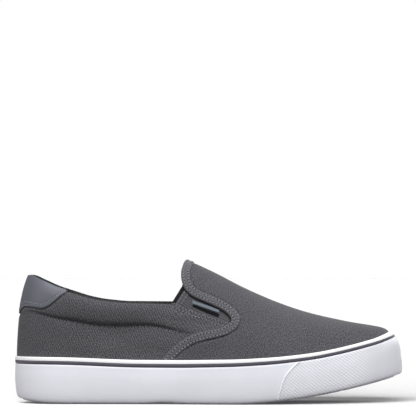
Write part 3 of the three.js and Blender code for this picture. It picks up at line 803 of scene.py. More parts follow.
# %% The edge as a line on the last
EDGE_SIDE = [
    (110.2, 28.0), (113.3, 34.2), (116.0, 38.4), (120.7, 42.9), (126.4, 47.4), (133.2, 51.4),
    (141.0, 54.2), (149.0, 55.9), (156.2, 57.6), (160.9, 59.7), (163.9, 62.3), (164.6, 64.7),
    (163.2, 67.2), (160.4, 69.9), (156.0, 72.6), (151.3, 75.0), (145.8, 77.4), (139.6, 80.0),
    (134.8, 82.4), (131.6, 85.0), (129.0, 88.4), (127.4, 92.4), (126.6, 97.0), (126.7, 101.6),
    (127.6, 104.9),
]
EDGE_RIDGE_X = 130.0


def edge_line(count):
    """(u, v) along the free edge, from the sole over the instep to the other side."""
    x, z = np.array(EDGE_SIDE).T
    u, v = u_at(x), v_at(x, z)
    ridge = (float(u_at(EDGE_RIDGE_X)), 1.0)
    half = list(zip(u, v))
    whole = half + [ridge] + [(a, 2 - b) for a, b in reversed(half)]
    return smooth_line(np.array(whole) * UV_MM, count) / UV_MM


def walk(line, distance, steps=6):
    """The line moved over the surface to its right by a distance in millimetres."""
    u, v = line[:, 0].copy(), line[:, 1].copy()
    point, _, _, normal = last_frame(u, v)
    ahead = np.gradient(point, axis=0)
    across = np.cross(ahead, normal)
    across /= np.linalg.norm(across, axis=1, keepdims=True)
    for _ in range(steps):
        _, along, over, normal = last_frame(u, v)
        to = across - normal * (across * normal).sum(1, keepdims=True)
        to /= np.linalg.norm(to, axis=1, keepdims=True)
        to *= distance / steps
        aa, oo, ao = (along**2).sum(1), (over**2).sum(1), (along * over).sum(1)
        ta, tb = (to * along).sum(1), (to * over).sum(1)
        det = aa * oo - ao**2
        u += (ta * oo - tb * ao) / det
        v += (tb * aa - ta * ao) / det
    return np.stack([u, v], -1)


EDGE = edge_line(360)
print("edge from", last_point(*EDGE[0]).round(1), "over", last_point(*EDGE[180]).round(1))

# %% [markdown]
# ## Vamp
# The vamp is one pattern piece, cut flat and pulled over the toe. It isn't a rectangle of
# cloth, so a grid can't follow its edge. Points are spread evenly over it, its own edge is
# added, and the triangles between them are found. It could also be cut from a full grid, but
# the edge would be ragged under the tape.

# %% Vamp canvas and its lining
TAPE_WIDTH = 6.2
PRESSED_AT = [TAPE_WIDTH + d for d in (-1.0, 0.1, 0.75, 1.6, 2.8)]
VAMP_SPACING = 2.4
SOLE_V = 0.1  # how far up from the sole line the vamp starts


def pressed(points):
    """How far the canvas is pressed in beside the tape, from the distance to the free edge."""
    edge = last_point(*EDGE.T)
    far = np.array([np.sqrt(((edge - p) ** 2).sum(1).min()) for p in points])
    low = ease((INSTEP_HEIGHT - 2 - np.asarray(points)[:, 2]) / 12)
    return (0.25 + 0.5 * low) * np.exp(-(((far - TAPE_WIDTH - 0.3) / 0.75) ** 2))


def inside_of(border, dots):
    """Which dots lie inside a closed border, by counting the crossings on their way out."""
    inside = np.zeros(len(dots), bool)
    for (x1, y1), (x2, y2) in zip(border, np.roll(border, -1, axis=0)):
        if y1 != y2:
            crosses = (y1 > dots[:, 1]) != (y2 > dots[:, 1])
            inside ^= crosses & (dots[:, 0] < (x2 - x1) * (dots[:, 1] - y1) / (y2 - y1) + x1)
    return inside


def away_from(others, dots):
    """Squared distance of each dot to the nearest of the others."""
    return np.array([np.min(((others - d) ** 2).sum(1)) for d in dots])


def panel_points(edge, spacing):
    """Triangles over the vamp in (u, v), with its edge and the sole line as borders."""
    toe_u = np.linspace(edge[-1, 0], 3.0, 140)[1:]
    low = np.stack([toe_u, np.full(len(toe_u), 2 - SOLE_V)], -1)
    tip = np.stack([np.full(60, 3.0), np.linspace(2 - SOLE_V, SOLE_V, 62)[1:-1]], -1)
    other = np.stack([toe_u[::-1], np.full(len(toe_u), SOLE_V)], -1)
    border = np.vstack([edge, low, tip, other]) * UV_MM
    us = np.arange(1.4 * UV_MM[0], 3 * UV_MM[0], spacing * 0.87)
    vs = np.arange(SOLE_V * UV_MM[1], 1.9 * UV_MM[1], spacing)
    dots = np.array([(x, y + (i % 2) * spacing / 2) for i, x in enumerate(us) for y in vs])
    # Rows lie close behind each other on the ridge near the toe, so no points go there.
    crowded = (dots[:, 0] > 2.5 * UV_MM[0]) & (np.abs(dots[:, 1] / UV_MM[1] - 1) < 0.02)
    dots = dots[~crowded]
    taken = np.vstack([walk(edge, d)[::2] * UV_MM for d in PRESSED_AT])
    dots = np.vstack([dots[away_from(taken, dots) > 1.6], taken])
    dots = dots[inside_of(border, dots)]
    dots = dots[away_from(border, dots) > (spacing * 0.5) ** 2]
    points = np.vstack([border, dots])
    edges = [(i, (i + 1) % len(border)) for i in range(len(border))]
    found = delaunay_2d_cdt([Vector(p) for p in points], edges, [], 1, 1e-5)
    flat = np.array([tuple(p) for p in found[0]])
    return flat / UV_MM, [tuple(f) for f in found[2]]


def vamp_faces(triangles, count):
    """Both faces of the vamp and the wall along its border, from the outer face's triangles."""
    seen = {}
    for face in triangles:
        for a, b in zip(face, face[1:] + face[:1]):
            seen[(a, b)] = seen.get((a, b), 0) + 1
    rim = [pair for pair in seen if (pair[1], pair[0]) not in seen]
    inner = [tuple(i + count for i in reversed(f)) for f in triangles]
    return list(triangles) + inner + [(b, a, a + count, b + count) for a, b in rim]


def welded(points, faces, gap=0.01):
    """Faces that share the points lying on each other, as at the tip of the toe."""
    keys, index = {}, np.empty(len(points), int)
    for i, p in enumerate(np.round(np.asarray(points) / gap).astype(int)):
        index[i] = keys.setdefault(tuple(p), i)
    kept = []
    for face in faces:
        new = [int(index[i]) for i in face]
        new = [a for a, b in zip(new, new[1:] + new[:1]) if a != b]
        if len(set(new)) > 2:
            kept.append(tuple(new))
    return kept


def vamp_layer(name, material, out, under, flat, triangles):
    u, v = flat.T
    place = last_point(u, v)
    tip = last_point(3.0, np.linspace(1, 0, 60))
    over_toe = np.interp(place[:, 0], tip[:, 0], tip[:, 2])
    ridge = np.where(place[:, 0] < TOE_POLE, arch_top(place[:, 0]), over_toe)
    sunk = pressed(place) if out > 0 else 0
    points = np.vstack([skin(u, v, out - sunk), skin(u, v, under - sunk)])
    aside = place[:, 1] - centre_line(place[:, 0])
    fall = (ridge - place[:, 2]) * ease(np.abs(aside) / 6)
    uv = np.stack([place[:, 0], np.sign(aside) * np.hypot(aside, fall)], -1)
    faces = welded(points, vamp_faces(triangles, len(u)))
    make_piece(name, points, faces, material, ("upper",), np.vstack([uv, uv]))


flat, triangles = panel_points(EDGE, VAMP_SPACING)
area = sum(np.cross(flat[b] - flat[a], flat[c] - flat[a]) for a, b, c in triangles)
if area < 0:
    triangles = turned_over(triangles)
vamp_layer("vamp_canvas", VAMP_CANVAS, 0.05, -0.95, flat, triangles)
vamp_layer("vamp_lining", LINING, -1.9, -2.2, flat, triangles)

# %% [markdown]
# ## Quarters
# The quarters wrap the heel and run forward under the vamp. Above the stitched groove they
# cover foam, so that part swells. The swell starts sharply at the seam, as in the
# photograph, and is thin again at the topline.

# %% Quarter canvas with its padded collar
PATCH_ROWS = [(-0.03, 0.62), (0.0055, 0.684), (0.0145, 0.732), (0.026, 0.752), (0.045, 0.746),
              (0.072, 0.733), (0.089, 0.748), (0.104, 0.78), (0.119, 0.818), (0.141, 0.87),
              (0.16, 0.93)]
patch_height = column(*PATCH_ROWS)


def patch_line(x):
    return patch_height(x) * COLLAR_HEEL


QUARTER_FRONT = [(118.6, 77.6), (129.2, 73.0), (142.3, 68.5), (155.0, 64.2), (160.2, 62.9),
                 (168.0, 60.6)]
FRONT_LINE = smooth_line(QUARTER_FRONT, 60)
COLLAR_CORNER_X = 118.9
QUARTER_END_X = 166.0
SEAM_GROOVE = 1.0
ROLL = 1.6  # height of the lining's roll over the canvas


def quarter_top(x):
    front = np.interp(x, FRONT_LINE[:, 0], FRONT_LINE[:, 1])
    return np.where(x < COLLAR_CORNER_X, collar_line(x) - ROLL, front)


LOWER_EDGE = np.array(EDGE_SIDE[:10])


def quarter_bottom(x):
    """Under the foxing, and in front following the vamp's edge from inside."""
    under = np.interp(x - 9, LOWER_EDGE[:, 0], LOWER_EDGE[:, 1], left=0) - 4
    return np.maximum(top_line(x) - 6, np.where(x > 119, under, 0))


def round_the_heel(end_u, rows):
    """Evenly spaced w from one front end round the heel to the other. w is u, and minus u
    on the outer side."""
    return end_u * np.linspace(-1, 1, rows)


def ring_v(w, v):
    return np.where(w < 0, v, 2 - v)


def ring_grid(w, low, high, cols):
    """(u, v) of a grid round the heel, from one height of v to another."""
    v = low[:, None] + (high - low)[:, None] * np.linspace(0, 1, cols)
    return np.abs(w)[:, None].repeat(cols, 1), ring_v(w[:, None], v)


def on_side(flat, side):
    """(u, v) of places seen from the side, on the outer side (-1) or the inner one (1)."""
    u, v = u_at(flat[..., 0]), v_at(flat[..., 0], flat[..., 1])
    return u, v if side < 0 else 2 - v


def between_lines(low, high, rows, cols):
    """(x, z) of a grid between two lines seen from the side."""
    share = np.linspace(0, 1, cols)[None, :, None]
    return smooth_line(low, rows)[:, None] * (1 - share) + smooth_line(high, rows)[:, None] * share


def quarter_offset(u, v):
    point = last_point(u, v)
    x, z = point[..., 0], point[..., 2]
    above = z - seam_line(x)
    fade = ease((139 - x) / 14) * ease((x - 3) / 12)
    stitch = 0.5 + 0.5 * np.sin(2 * np.pi * x / 2.7 + 0.8 * np.sin(x / 7.0))
    out = COLLAR_SWELL * padding(point)
    groove = np.exp(-((above / 0.85) ** 2)) * (0.75 + 0.5 * stitch)
    pucker = 0.5 * (stitch - 0.5) * np.exp(-np.abs(above + 0.6) / 1.7)
    under_patch = np.where(x < 41, np.exp(-(((z - patch_line(x) + 0.5) / 0.9) ** 2)), 0)
    sewn = (SEAM_GROOVE * groove + pucker) * fade
    return out - sewn - 0.05 + soft_folds(x, z) - 0.8 * under_patch


# A trough or ridge: its two ends seen from the side, half its width, and its height.
FOLDS = [
    ((60, 52), (100, 55.5), 5.0, -0.35),
    ((20, 64), (52, 55), 6.0, 0.3),
    ((98, 50), (128, 44), 5.0, 0.35),
    ((40, 44), (84, 41), 5.0, 0.25),
    ((124, 66), (150, 60), 2.6, -0.3),
    ((112, 70), (138, 64.5), 2.2, 0.3),
    ((6, 60), (12, 44), 4.0, -0.3),
]


def soft_folds(x, z):
    total = np.zeros_like(x)
    for (x1, z1), (x2, z2), width, height in FOLDS:
        length = math.hypot(x2 - x1, z2 - z1)
        ax, az = (x2 - x1) / length, (z2 - z1) / length
        along = (x - x1) * ax + (z - z1) * az
        aside = -(x - x1) * az + (z - z1) * ax + 1.2 * np.sin(along / length * np.pi)
        ends = ease(along / length * 2.2 + 0.3) * ease((1 - along / length) * 2.2 + 0.3)
        total += height * ends * np.exp(-((aside / width) ** 2))
    return total


w = round_the_heel(float(u_at(QUARTER_END_X)), 361)
low, high = v_on(np.abs(w), quarter_bottom), v_on(np.abs(w), quarter_top)
U, V = ring_grid(w, low, high, 96)
out = quarter_offset(U, V)
quarter = cloth_shell("quarter_canvas", U, V, out, out - 0.9, CANVAS, "canvas", ("upper",))

# %% [markdown]
# ## Lining of the quarters' front ends
# In front the quarter lies under the vamp and the elastic, and the collar's lining stops
# before it. A dark cloth behind its canvas closes it off inside. The collar's lining could
# run on forward instead, but it would have to pass under the elastic and show its end there.

# %% Dark cloth behind the front ends
def front_lining(name, rows):
    u, v, offset = U[rows, :-2], V[rows, :-2], out[rows, :-2]
    cloth_shell(name, u, v, offset - 0.98, -2.85, LINING, "canvas", ("upper",))


LINING_FRONT = float(u_at(108.0))
front_lining("front_lining_outer", w < -LINING_FRONT)
front_lining("front_lining_inner", w > LINING_FRONT)

# %% [markdown]
# ## Threads of the quarters
# Two rows of light thread run along the front edge and one dark row lies in the groove under
# the collar. Both follow the canvas as it swells, so they are laid at its own offset.

# %% Threads along the quarter's front edge and the collar's seam
def quarter_rows():
    lines = []
    for side in (-1, 1):
        for drop in (1.3, 3.9):
            line = FRONT_LINE[(FRONT_LINE[:, 0] > 119.5) & (FRONT_LINE[:, 0] < 163.5)].copy()
            line[:, 1] -= drop
            u, v = on_side(line, side)
            lines.append(seam_line_on(u, v, quarter_offset(u, v) + 0.12))
    return lines


def collar_seam_row():
    w = round_the_heel(float(u_at(136.0)), 400)
    u = np.abs(w)
    v = v_on(u, lambda x: seam_line(x) - 1.1)
    return [seam_line_on(u, ring_v(w, v), quarter_offset(u, v) + 0.05)]


seam_piece("quarter_stitches", quarter_rows(), ("upper",), Thread=THREAD,
           Pitch=0.0026, Length=0.0017, Thickness=0.00055, Seed=5, Turn=0.1)
seam_piece("collar_stitches", collar_seam_row(), ("upper",), Thread=DARK_THREAD,
           Pitch=0.0027, Length=0.0015, Thickness=0.0005, Seed=6)

# %% [markdown]
# ## Collar lining
# A thin dark cloth is sewn to the canvas just under the topline, rolls over the foam and
# goes down inside to the footbed. It is one grid whose columns run from the outside over the
# rim to the floor. The roll could be bevelled on a finished wall, but as columns of the grid
# it follows the padding's thickness all round the opening.

# %% Lining over the rim and down inside
def collar_lining():
    w = round_the_heel(float(u_at(COLLAR_CORNER_X + 2)), 281)
    u = np.abs(w)
    top = v_on(u, collar_line)
    start = v_on(u, lambda x: collar_line(x) - ROLL - 0.4)
    bottom = v_on(u, lambda x: floor_line(x) + 3)

    def swell(v, most):
        return most * padding(last_point(u, v))

    def column_at(v, offset):
        return skin(u, ring_v(w, v), offset)

    columns = [column_at(start, swell(start, COLLAR_SWELL) + lift) for lift in (-0.3, 0.35)]
    rim_out, rim_in = swell(top, COLLAR_SWELL), -2.2 - swell(top, COLLAR_PUFF_INSIDE)
    middle, half = (rim_out + rim_in) / 2, (rim_out - rim_in) / 2
    point, _, over, normal = last_frame(u, ring_v(w, top))
    upward = over / np.linalg.norm(over, axis=-1, keepdims=True)
    upward = np.where(upward[:, 2:] < 0, -upward, upward)
    for turn in np.linspace(0, np.pi, 13):
        aside = (middle + (half + 0.3) * np.cos(turn))[:, None]
        columns.append(point + normal * aside + upward * (np.sin(turn) * 1.2 - 1.6))
    for share in np.linspace(0.04, 1, 40):
        v = top + (bottom - top) * share
        columns.append(column_at(v, -2.2 - swell(v, COLLAR_PUFF_INSIDE)))
    return np.stack(columns, 1)


grid = collar_lining()
faces, uv = grid_faces(*grid.shape[:2]), cloth_map(grid, *grid.shape[:2])
lining = make_piece("collar_lining", grid.reshape(-1, 3), faces, LINING, ("upper",), uv)

# %% [markdown]
# ## Binding tape
# The flap's free edge is bound with a woven tape, folded round it and sewn along both of its
# sides. The tape is a section swept along the edge, over the surface of the last. A bevelled
# curve would sweep it too, but it would stand straight where the last bends under its width.

# %% Tape swept along the edge
TAPE_PROUD = 0.8
TAPE_UNDER = 4.5
SEWN_AT = (1.35, TAPE_WIDTH - 1.35)


def tape_section():
    """(distance from the edge, offset) round the tape, from under the outside to the inside."""
    outside = [(TAPE_WIDTH, -0.6), (TAPE_WIDTH + 0.05, 0.35), (TAPE_WIDTH - 0.25, 0.65)]
    for d in np.linspace(TAPE_WIDTH - 0.7, 0.6, 14):
        rows = sum(math.exp(-(((d - at) / 0.55) ** 2)) for at in SEWN_AT)
        outside.append((d, TAPE_PROUD - 0.22 * rows))
    outside += [(0.15, 0.65), (-0.2, 0.35), (-0.35, 0.0), (-0.4, -1.0), (-0.3, -1.9), (0.1, -2.3)]
    inside = [(0.8, -2.55), (2.0, -2.6), (TAPE_UNDER, -2.55), (TAPE_UNDER + 0.2, -2.2)]
    return outside + inside


section = tape_section()
grid = np.stack([skin(*walk(EDGE, distance).T, offset) for distance, offset in section], 1)
faces, uv = grid_faces(*grid.shape[:2]), cloth_map(grid, *grid.shape[:2])
tape = make_piece("edge_tape", grid.reshape(-1, 3), faces, TAPE, ("vamp_tape",), uv)

# %% [markdown]
# ## Threads of the tape
# A row of light thread holds the tape along each of its sides, in the shallow channel that it
# presses into it. Both rows are walked from the same edge as the tape, so they stay parallel
# to it round the tip, where rows drawn by hand would drift.

# %% Threads along both sides of the tape
tape_rows = [seam_line_on(*walk(EDGE, distance).T, TAPE_PROUD - 0.1) for distance in SEWN_AT]
seam_piece("tape_stitches", tape_rows, ("vamp_tape",), Thread=THREAD,
           Pitch=0.0026, Length=0.0017, Thickness=0.00062, Seed=4, Turn=0.12, Hole_Size=0.0009)

# %% [markdown]
# ## Shade past the tape's edge
# Past the tape a thin dark line of shade shows over the elastic. It is painted shade: a
# small bar of the dark lining cloth along the edge, lying lower than the tape.

# %% Dark bar of painted shade, seen past the tape over the elastic
SHADE_BAR_SECTION = [(1.5, -0.9), (-0.2, -0.75), (-1.0, -0.8), (-1.25, -1.1), (-1.0, -1.5), (1.5, -1.6)]


def tape_shade_bar():
    x, _, z = last_point(*EDGE.T).T
    end = len(EDGE) - 1
    shown = [i for i in range(len(EDGE) // 2 + 1) if x[i] < 166 and 62 < z[i] < 91]
    points, faces = [], []
    for first, last in ((shown[0], shown[-1]), (end - shown[-1], end - shown[0])):
        columns = [skin(*walk(EDGE, distance)[first:last + 1].T, offset)
                   for distance, offset in SHADE_BAR_SECTION]
        grid = np.stack(columns, 1)
        rows, cols = grid.shape[:2]
        start, stop = len(points), len(points) + (rows - 1) * cols
        faces += grid_faces(rows, cols, wrap_cols=True, first=start)
        faces.append(tuple(range(start, start + cols)))
        faces.append(tuple(reversed(range(stop, stop + cols))))
        points += grid.reshape(-1, 3).tolist()
    uv = np.array(points)[:, :2]
    make_piece("tape_shade_bar", points, faces, LINING, ("vamp_tape",), uv)


tape_shade_bar()

# %% [markdown]
# ## Gores
# The elastic panels fill the notch between quarter and vamp, under both, and let the shoe
# open for the foot. Their webbing has fine ribs, and the free edge is hemmed. The ribs could
# be modelled, but at a third of a millimetre high a bump shows them as well. A dark cloth
# behind each shows as a line past the free edge.

# %% Elastic panels
GORE_OUT = -1.6
GORE_THICK = 0.75


HEM_LOW, HEM_HIGH = (120.4, 74.2), (130.3, 89.6)
GORE_LOW = [HEM_LOW, (130.0, 70.0), (145.0, 64.8), (158.0, 60.8), (163.5, 60.0)]
GORE_HIGH = [HEM_HIGH, (136.0, 86.2), (146.0, 81.0), (157.0, 75.5), (167.0, 67.0)]
BACK_LOW = [(118.0, 76.0), (130.0, 70.5), (145.0, 65.0), (160.0, 61.5)]
BACK_HIGH = [(127.3, 91.0), (136.0, 87.0), (146.0, 82.0), (164.0, 72.0)]


def gore(side, node):
    from_hem = np.linspace(0, 1, 70)[:, None] * 42
    hem = 0.45 * ease((5.0 - from_hem) / 0.8) * ease(from_hem / 0.6 + 0.2)
    places = on_side(between_lines(GORE_LOW, GORE_HIGH, 70, 30), side)
    cloth_shell(node.replace("gore", "gore_webbing"), *places, GORE_OUT + hem,
                GORE_OUT - GORE_THICK, ELASTIC, "elastic", (node,), flip=side > 0)


def gore_back(side, node):
    back = GORE_OUT - GORE_THICK - 0.15
    places = on_side(between_lines(BACK_LOW, BACK_HIGH, 30, 12), side)
    cloth_shell(node.replace("gore", "gore_back"), *places, back, back - 0.5, LINING, "elastic",
                (node,), flip=side > 0)


def hem_rows(side):
    line = np.linspace(HEM_LOW, HEM_HIGH, 40)
    return [seam_line_on(*on_side(line + (ahead, -0.5 * ahead), side), GORE_OUT + 0.45)
            for ahead in (0.9, 3.6)]


SIDES = ((-1, "gore_outer"), (1, "gore_inner"))
seam_piece("gore_stitches", hem_rows(-1) + hem_rows(1), ("gore_outer", "gore_inner"),
           Thread=THREAD, Pitch=0.0024, Length=0.0019, Thickness=0.0005, Seed=9, Hole_Size=0.0005)
for side, node in SIDES:
    gore_back(side, node)
for side, node in SIDES:
    gore(side, node)

# %% [markdown]
# ## Heel patch
# A smooth patch covers the back of the collar, where a hand pulls the shoe on. Its lower edge
# is drawn as heights seen from the side. It could be cut out of the quarter with a material
# of its own, but a real patch stands proud, and its edge catches the light.

# %% Patch over the back of the collar
PATCH_END = float(u_at(0.1395 * LAST_LENGTH))
PATCH_SEAM = 1.75  # from the patch's lower edge up to its stitches


def heel_patch():
    w = round_the_heel(PATCH_END, 181)
    low = v_on(np.abs(w), patch_line)
    high = v_on(np.abs(w), lambda x: collar_line(x) - ROLL + 0.3)
    high = np.maximum(high, low + 1e-3)
    u, v = ring_grid(w, low, high, 40)
    puff = COLLAR_SWELL * padding(last_point(u, v))
    up = np.linspace(0, 1, 40) * ((high - low)[:, None] * UV_MM[1])
    sewn = 0.25 * np.exp(-(((up - PATCH_SEAM) / 0.45) ** 2))
    proud = 0.1 + 0.6 * np.sqrt(ease(up / 0.7)) - sewn
    end_fade = ease((1 - np.abs(w / PATCH_END)) * 40)[:, None]
    cloth_shell("heel_patch_leather", u, v, puff + proud * end_fade, puff - 0.3, LEATHER,
                "patch_leather", ("heel_patch",))


def patch_row():
    w = round_the_heel(PATCH_END * 0.985, 300)
    u = np.abs(w)
    v = v_on(u, patch_line) + PATCH_SEAM / UV_MM[1]
    puff = COLLAR_SWELL * padding(last_point(u, v))
    return [seam_line_on(u, ring_v(w, v), puff + 0.6)]


heel_patch()
seam_piece("patch_stitches", patch_row(), ("heel_patch",), Thread=THREAD,
           Pitch=0.0025, Length=0.0019, Thickness=0.0007, Seed=8, Hole_Size=0.0004)

# %% [markdown]
# ## Side tag
# A small folded strip of woven tape is caught under the binding. It is left bare. A plane
# with a thickness would do from afar, but the fold's round back and the dark slit under it
# are what make it read as cloth, so it is two leaves, each rounded off at its rim. The lower
# leaf is near-black: painted shade of the slit under the fold.

# %% Folded tag
def tag_leaf(name, top_points, low_points, lift, material):
    """A leaf of the folded tag between two lines seen from the side."""
    rows, cols = 44, 14
    t, s = np.linspace(0, 1, rows)[:, None], np.linspace(0, 1, cols)[None]
    ends = ease(t * 18) * ease((1 - t) * 18)
    sides = np.sqrt(np.clip(ease(s * 5) * ease((1 - s) * 5), 0, 1))
    out = GORE_OUT + 0.3 + lift * ends * sides * (1.3 - 0.5 * s)
    places = on_side(between_lines(low_points, top_points, rows, cols), -1)
    cloth_shell(name, *places, out, GORE_OUT - 0.1, material, "tag_tape", ("side_tag",))


# The lower leaf is near-black, painted shade under the fold.
tag_leaf("side_tag_shade_leaf", [(134.6, 77.0), (144.8, 73.2), (155.2, 69.0)],
         [(135.0, 74.4), (144.6, 70.2), (154.6, 66.3)], 0.35, TAG_SHADE_LEAF)
tag_leaf("side_tag_fold", [(134.5, 79.1), (145.0, 75.5), (155.4, 71.7)],
         [(134.5, 75.8), (144.8, 72.1), (155.3, 68.4)], 1.6, TAG)

# %% [markdown]
# ## Sole
# The cupsole is moulded rubber. Its wall follows the outline of the last, stands out a
# little in its middle, and leans forward under the toe. The band, the dark stripe and the
# wall are rings with the same outline and different sections. A plain extrusion would give
# straight walls and sharp rims, and it's the soft rims that make rubber look moulded.

# %% Rings of the sole
FOXING = 6.0  # band and stripe together
HEEL_TUCK = 1.3
TIP_TUCK = 1.9
TIP_SINK = 1.7
band_share = column((0, 0.97), (0.15, 0.98), (0.42, 1), (0.62, 0.94), (0.88, 0.83), (1, 0.83))


def sole_stations():
    """(u, side) all round the outline, from the heel along the outer side and back."""
    parts = [np.linspace(0, 1, 33)[:-1], np.linspace(1, 2, 41)[:-1], np.linspace(2, 3, 45)]
    half = np.concatenate(parts)
    u = np.concatenate([half, half[-2:0:-1]])
    side = np.concatenate([np.full(len(half), -1.0), np.full(len(half) - 2, 1.0)])
    return u, side


def outline_normal(u, side):
    step = 3e-3
    v = np.where(side < 0, 0.0, 2.0)
    def at(w):
        a, b = folded(w, v)
        x, y, _ = outline(a, np.where(b <= 1, -1.0, 1.0))
        return np.stack([x, y], -1)
    along = (at(u + step) - at(u - step)) * -side[:, None]
    along /= np.linalg.norm(along, axis=1, keepdims=True)
    return np.stack([along[:, 1], -along[:, 0]], -1)


STATIONS = (*sole_stations(), outline_normal(*sole_stations()))


def sole_ring(out, drop=None, rise=None, lip=0.0, stations=STATIONS):
    """One ring of points of the sole: a drop under its top line or a rise over the ground.
    A lip moves it further out, or in where it is negative, at the toe alone."""
    u, side, outward = stations
    x0, y0, _ = outline(u, side)
    front = ease((outward[:, 0] - 0.5) / 0.5)
    lipped = 0.45 * ease((u - 1.9) / 0.25) + 0.55 * ease(outward[:, 0] / 0.35)
    out = out + lip * lipped - HEEL_TUCK * np.maximum(0, -outward[:, 0]) ** 2
    x = x0 + outward[:, 0] * out
    if rise is None:
        z = top_line(x) - drop + (1 - band_share(x)) * min(drop, FOXING)
    else:
        z = ground_line(x) + rise
    depth = top_line(x) - z
    steep = (spring_line(x0) / TOE_SPRING) ** (1 - 1 / SPRING_POWER)
    lean = TOE_LEAN * steep * np.sqrt(np.maximum(0, outward[:, 0])) * depth
    tucked = TIP_TUCK * front * (1 - ease((depth - 2) / 9))
    sunk = TIP_SINK * front * ease((out - 0.6) / 1.6) * (1 - ease(depth / 10))
    y = y0 + outward[:, 1] * (out - tucked)
    return np.stack([x + lean - outward[:, 0] * tucked, y, z - sunk], -1)


def ring_piece(name, rows, node, material):
    """A closed ring from rows that go down the outside, under, and up the inside."""
    grid = np.stack([sole_ring(out, **place) for out, place in rows], 1)
    faces = turned_over(grid_faces(*grid.shape[:2], wrap_rows=True, wrap_cols=True))
    make_piece(name, grid.reshape(-1, 3), faces, material, (node,))


def drops(*pairs):
    """Rows from pairs of a distance out and a drop under the top line."""
    return [(out, dict(drop=drop)) for out, drop in pairs]


def rises(*pairs):
    """Rows from pairs of a distance out and a rise over the ground."""
    return [(out, dict(rise=rise)) for out, rise in pairs]


WALL_OUTSIDE = drops((1.6, 5.95), (2.1, 6.0), (2.24, 6.2), (2.28, 7.5), (2.35, 10), (2.45, 12.5),
                     (2.5, 15), (2.42, 18))
WALL_OUTSIDE += rises((2.28, 12.4), (2.1, 10), (1.95, 8), (1.72, 6), (1.48, 4.4), (1.3, 3.5),
                      (0.95, 2.2), (0.6, 1.4), (0.1, 0.95), (-0.6, 0.8))
WALL_INSIDE = rises((-4.4, 0.8), (-4.4, 7), (0.4, 9)) + drops((0.4, 5.95))
BAND_INSIDE = [(0.3, dict(drop=3.0)), (-0.5, dict(drop=2.6, lip=-3.7)),
               (-0.5, dict(drop=1.9, lip=-3.7)), (-0.3, dict(drop=1.0, lip=-0.9))]
BAND_OUTSIDE = drops((0.6, 0.4), (0.9, 0.22), (1.3, 0.15), (1.85, 0.2), (2.12, 0.34),
                     (2.26, 0.65), (2.4, 1.6), (2.55, 2.85), (2.52, 3.08), (2.3, 3.15), (0.3, 3.15))
STRIPE_ROWS = drops((0.3, 3.17), (2.25, 3.18), (2.36, 3.3), (2.36, 5.0), (2.1, 5.3), (1.3, 5.75),
                    (0.3, 5.85))
ring_piece("sole_wall", WALL_OUTSIDE + WALL_INSIDE, "midsole", WHITE_RUBBER)
ring_piece("foxing_band_ring", BAND_INSIDE + BAND_OUTSIDE, "foxing_band",
           BAND_RUBBER)
ring_piece("foxing_stripe_ring", STRIPE_ROWS, "foxing_stripe", STRIPE_RUBBER)

# %% [markdown]
# ## Toe bumper
# A textured cap is moulded on the front of the wall. A raised bead bounds it at the rear,
# and its cross-hatching fades out round the tip. It could be a picture of diamonds on the
# wall, but the cap is a second layer of rubber with an edge, so it lies over the wall's rows.

# %% Bumper with its bead
BUMPER_REAR = [(198.2, -4.0), (198.7, 3.1), (199.8, 8.2), (201.5, 13.7), (203.6, 19.2),
               (207.0, 24.0), (213.5, 30.6), (220.6, 35.0)]
BEAD_IN = 0.9


def bumper_start(rear, drop=None, rise=None):
    """u where a row of the cap meets its rear edge, found by going to and fro."""
    x = 205.0
    for _ in range(6):
        z = float(ground_line(x)) + rise if drop is None else float(top_line(x)) - drop
        x = float(np.interp(z, rear[:, 1], rear[:, 0])) - BEAD_IN
    return float(u_at(x))


def bumper():
    rear = smooth_line(BUMPER_REAR, 80)
    count = 241
    t = np.linspace(-1, 1, count)
    side = np.where(t <= 0, -1.0, 1.0)
    to_tip = 1 - (1 - np.abs(t)) ** 1.35
    columns, runs = [], []
    for out, place in WALL_OUTSIDE[1:]:
        u = 3 - (3 - bumper_start(rear, **place)) * to_tip
        flat_line = np.stack(outline(u, side)[:2], -1)
        steps = np.linalg.norm(np.diff(flat_line, axis=0), axis=1)
        run = np.concatenate([[0], np.cumsum(steps)])
        inward = np.minimum(run, run[-1] - run)
        bead = 0.5 * np.exp(-(((inward - BEAD_IN) / 0.5) ** 2))
        proud = 0.35 * ease(inward / 0.5) + bead
        stations = (u, side, outline_normal(u, side))
        columns.append(sole_ring(out + proud, stations=stations, **place))
        runs.append(run - run[count // 2])
    grid = np.stack(columns, 1)
    over_spring = grid[..., 2] - spring_line(grid[..., 0])
    uv = np.stack([np.stack(runs, 1), over_spring], -1).reshape(-1, 2)
    faces = turned_over(grid_faces(*grid.shape[:2]))
    make_piece("toe_cap", grid.reshape(-1, 3), faces, BUMPER_RUBBER,
               ("toe_bumper",), uv)


bumper()

# %% [markdown]
# ## Footbed and tread
# The footbed is a soft sheet in the cup, a little dished. It could be a flat outline filled
# with one face, but the dish needs rings of points from the middle line to the rim. The
# tread's own shape is right in the frame, so it only gets its rubber.

# %% Footbed and the tread's material
def footbed():
    u, side, outward = STATIONS
    x0, y0, spine = outline(u, side)
    middle, gap = centre_line(spine), outward * 1.6
    columns = []
    for reach in np.linspace(0.02, 1, 16):
        x = spine + (x0 - gap[:, 0] - spine) * reach
        y = middle + (y0 - gap[:, 1] - middle) * reach
        columns.append(np.stack([x, y, floor_line(x) + 4.3 + 1.6 * reach**4], -1))
    columns.append(columns[-1] - (0, 0, 3.0))
    grid = np.stack(columns, 1)
    n, m = grid.shape[:2]
    faces = turned_over(grid_faces(n, m, wrap_rows=True)) + [tuple(i * m for i in range(n))]
    points = grid.reshape(-1, 3)
    piece = make_piece("footbed_sheet", points, faces, FOOTBED, ("insole",),
                       points[:, :2])


footbed()
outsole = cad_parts["outsole"]
outsole.data.materials.clear()
outsole.data.materials.append(TREAD_RUBBER)
print("tread's rubber on", outsole.name)

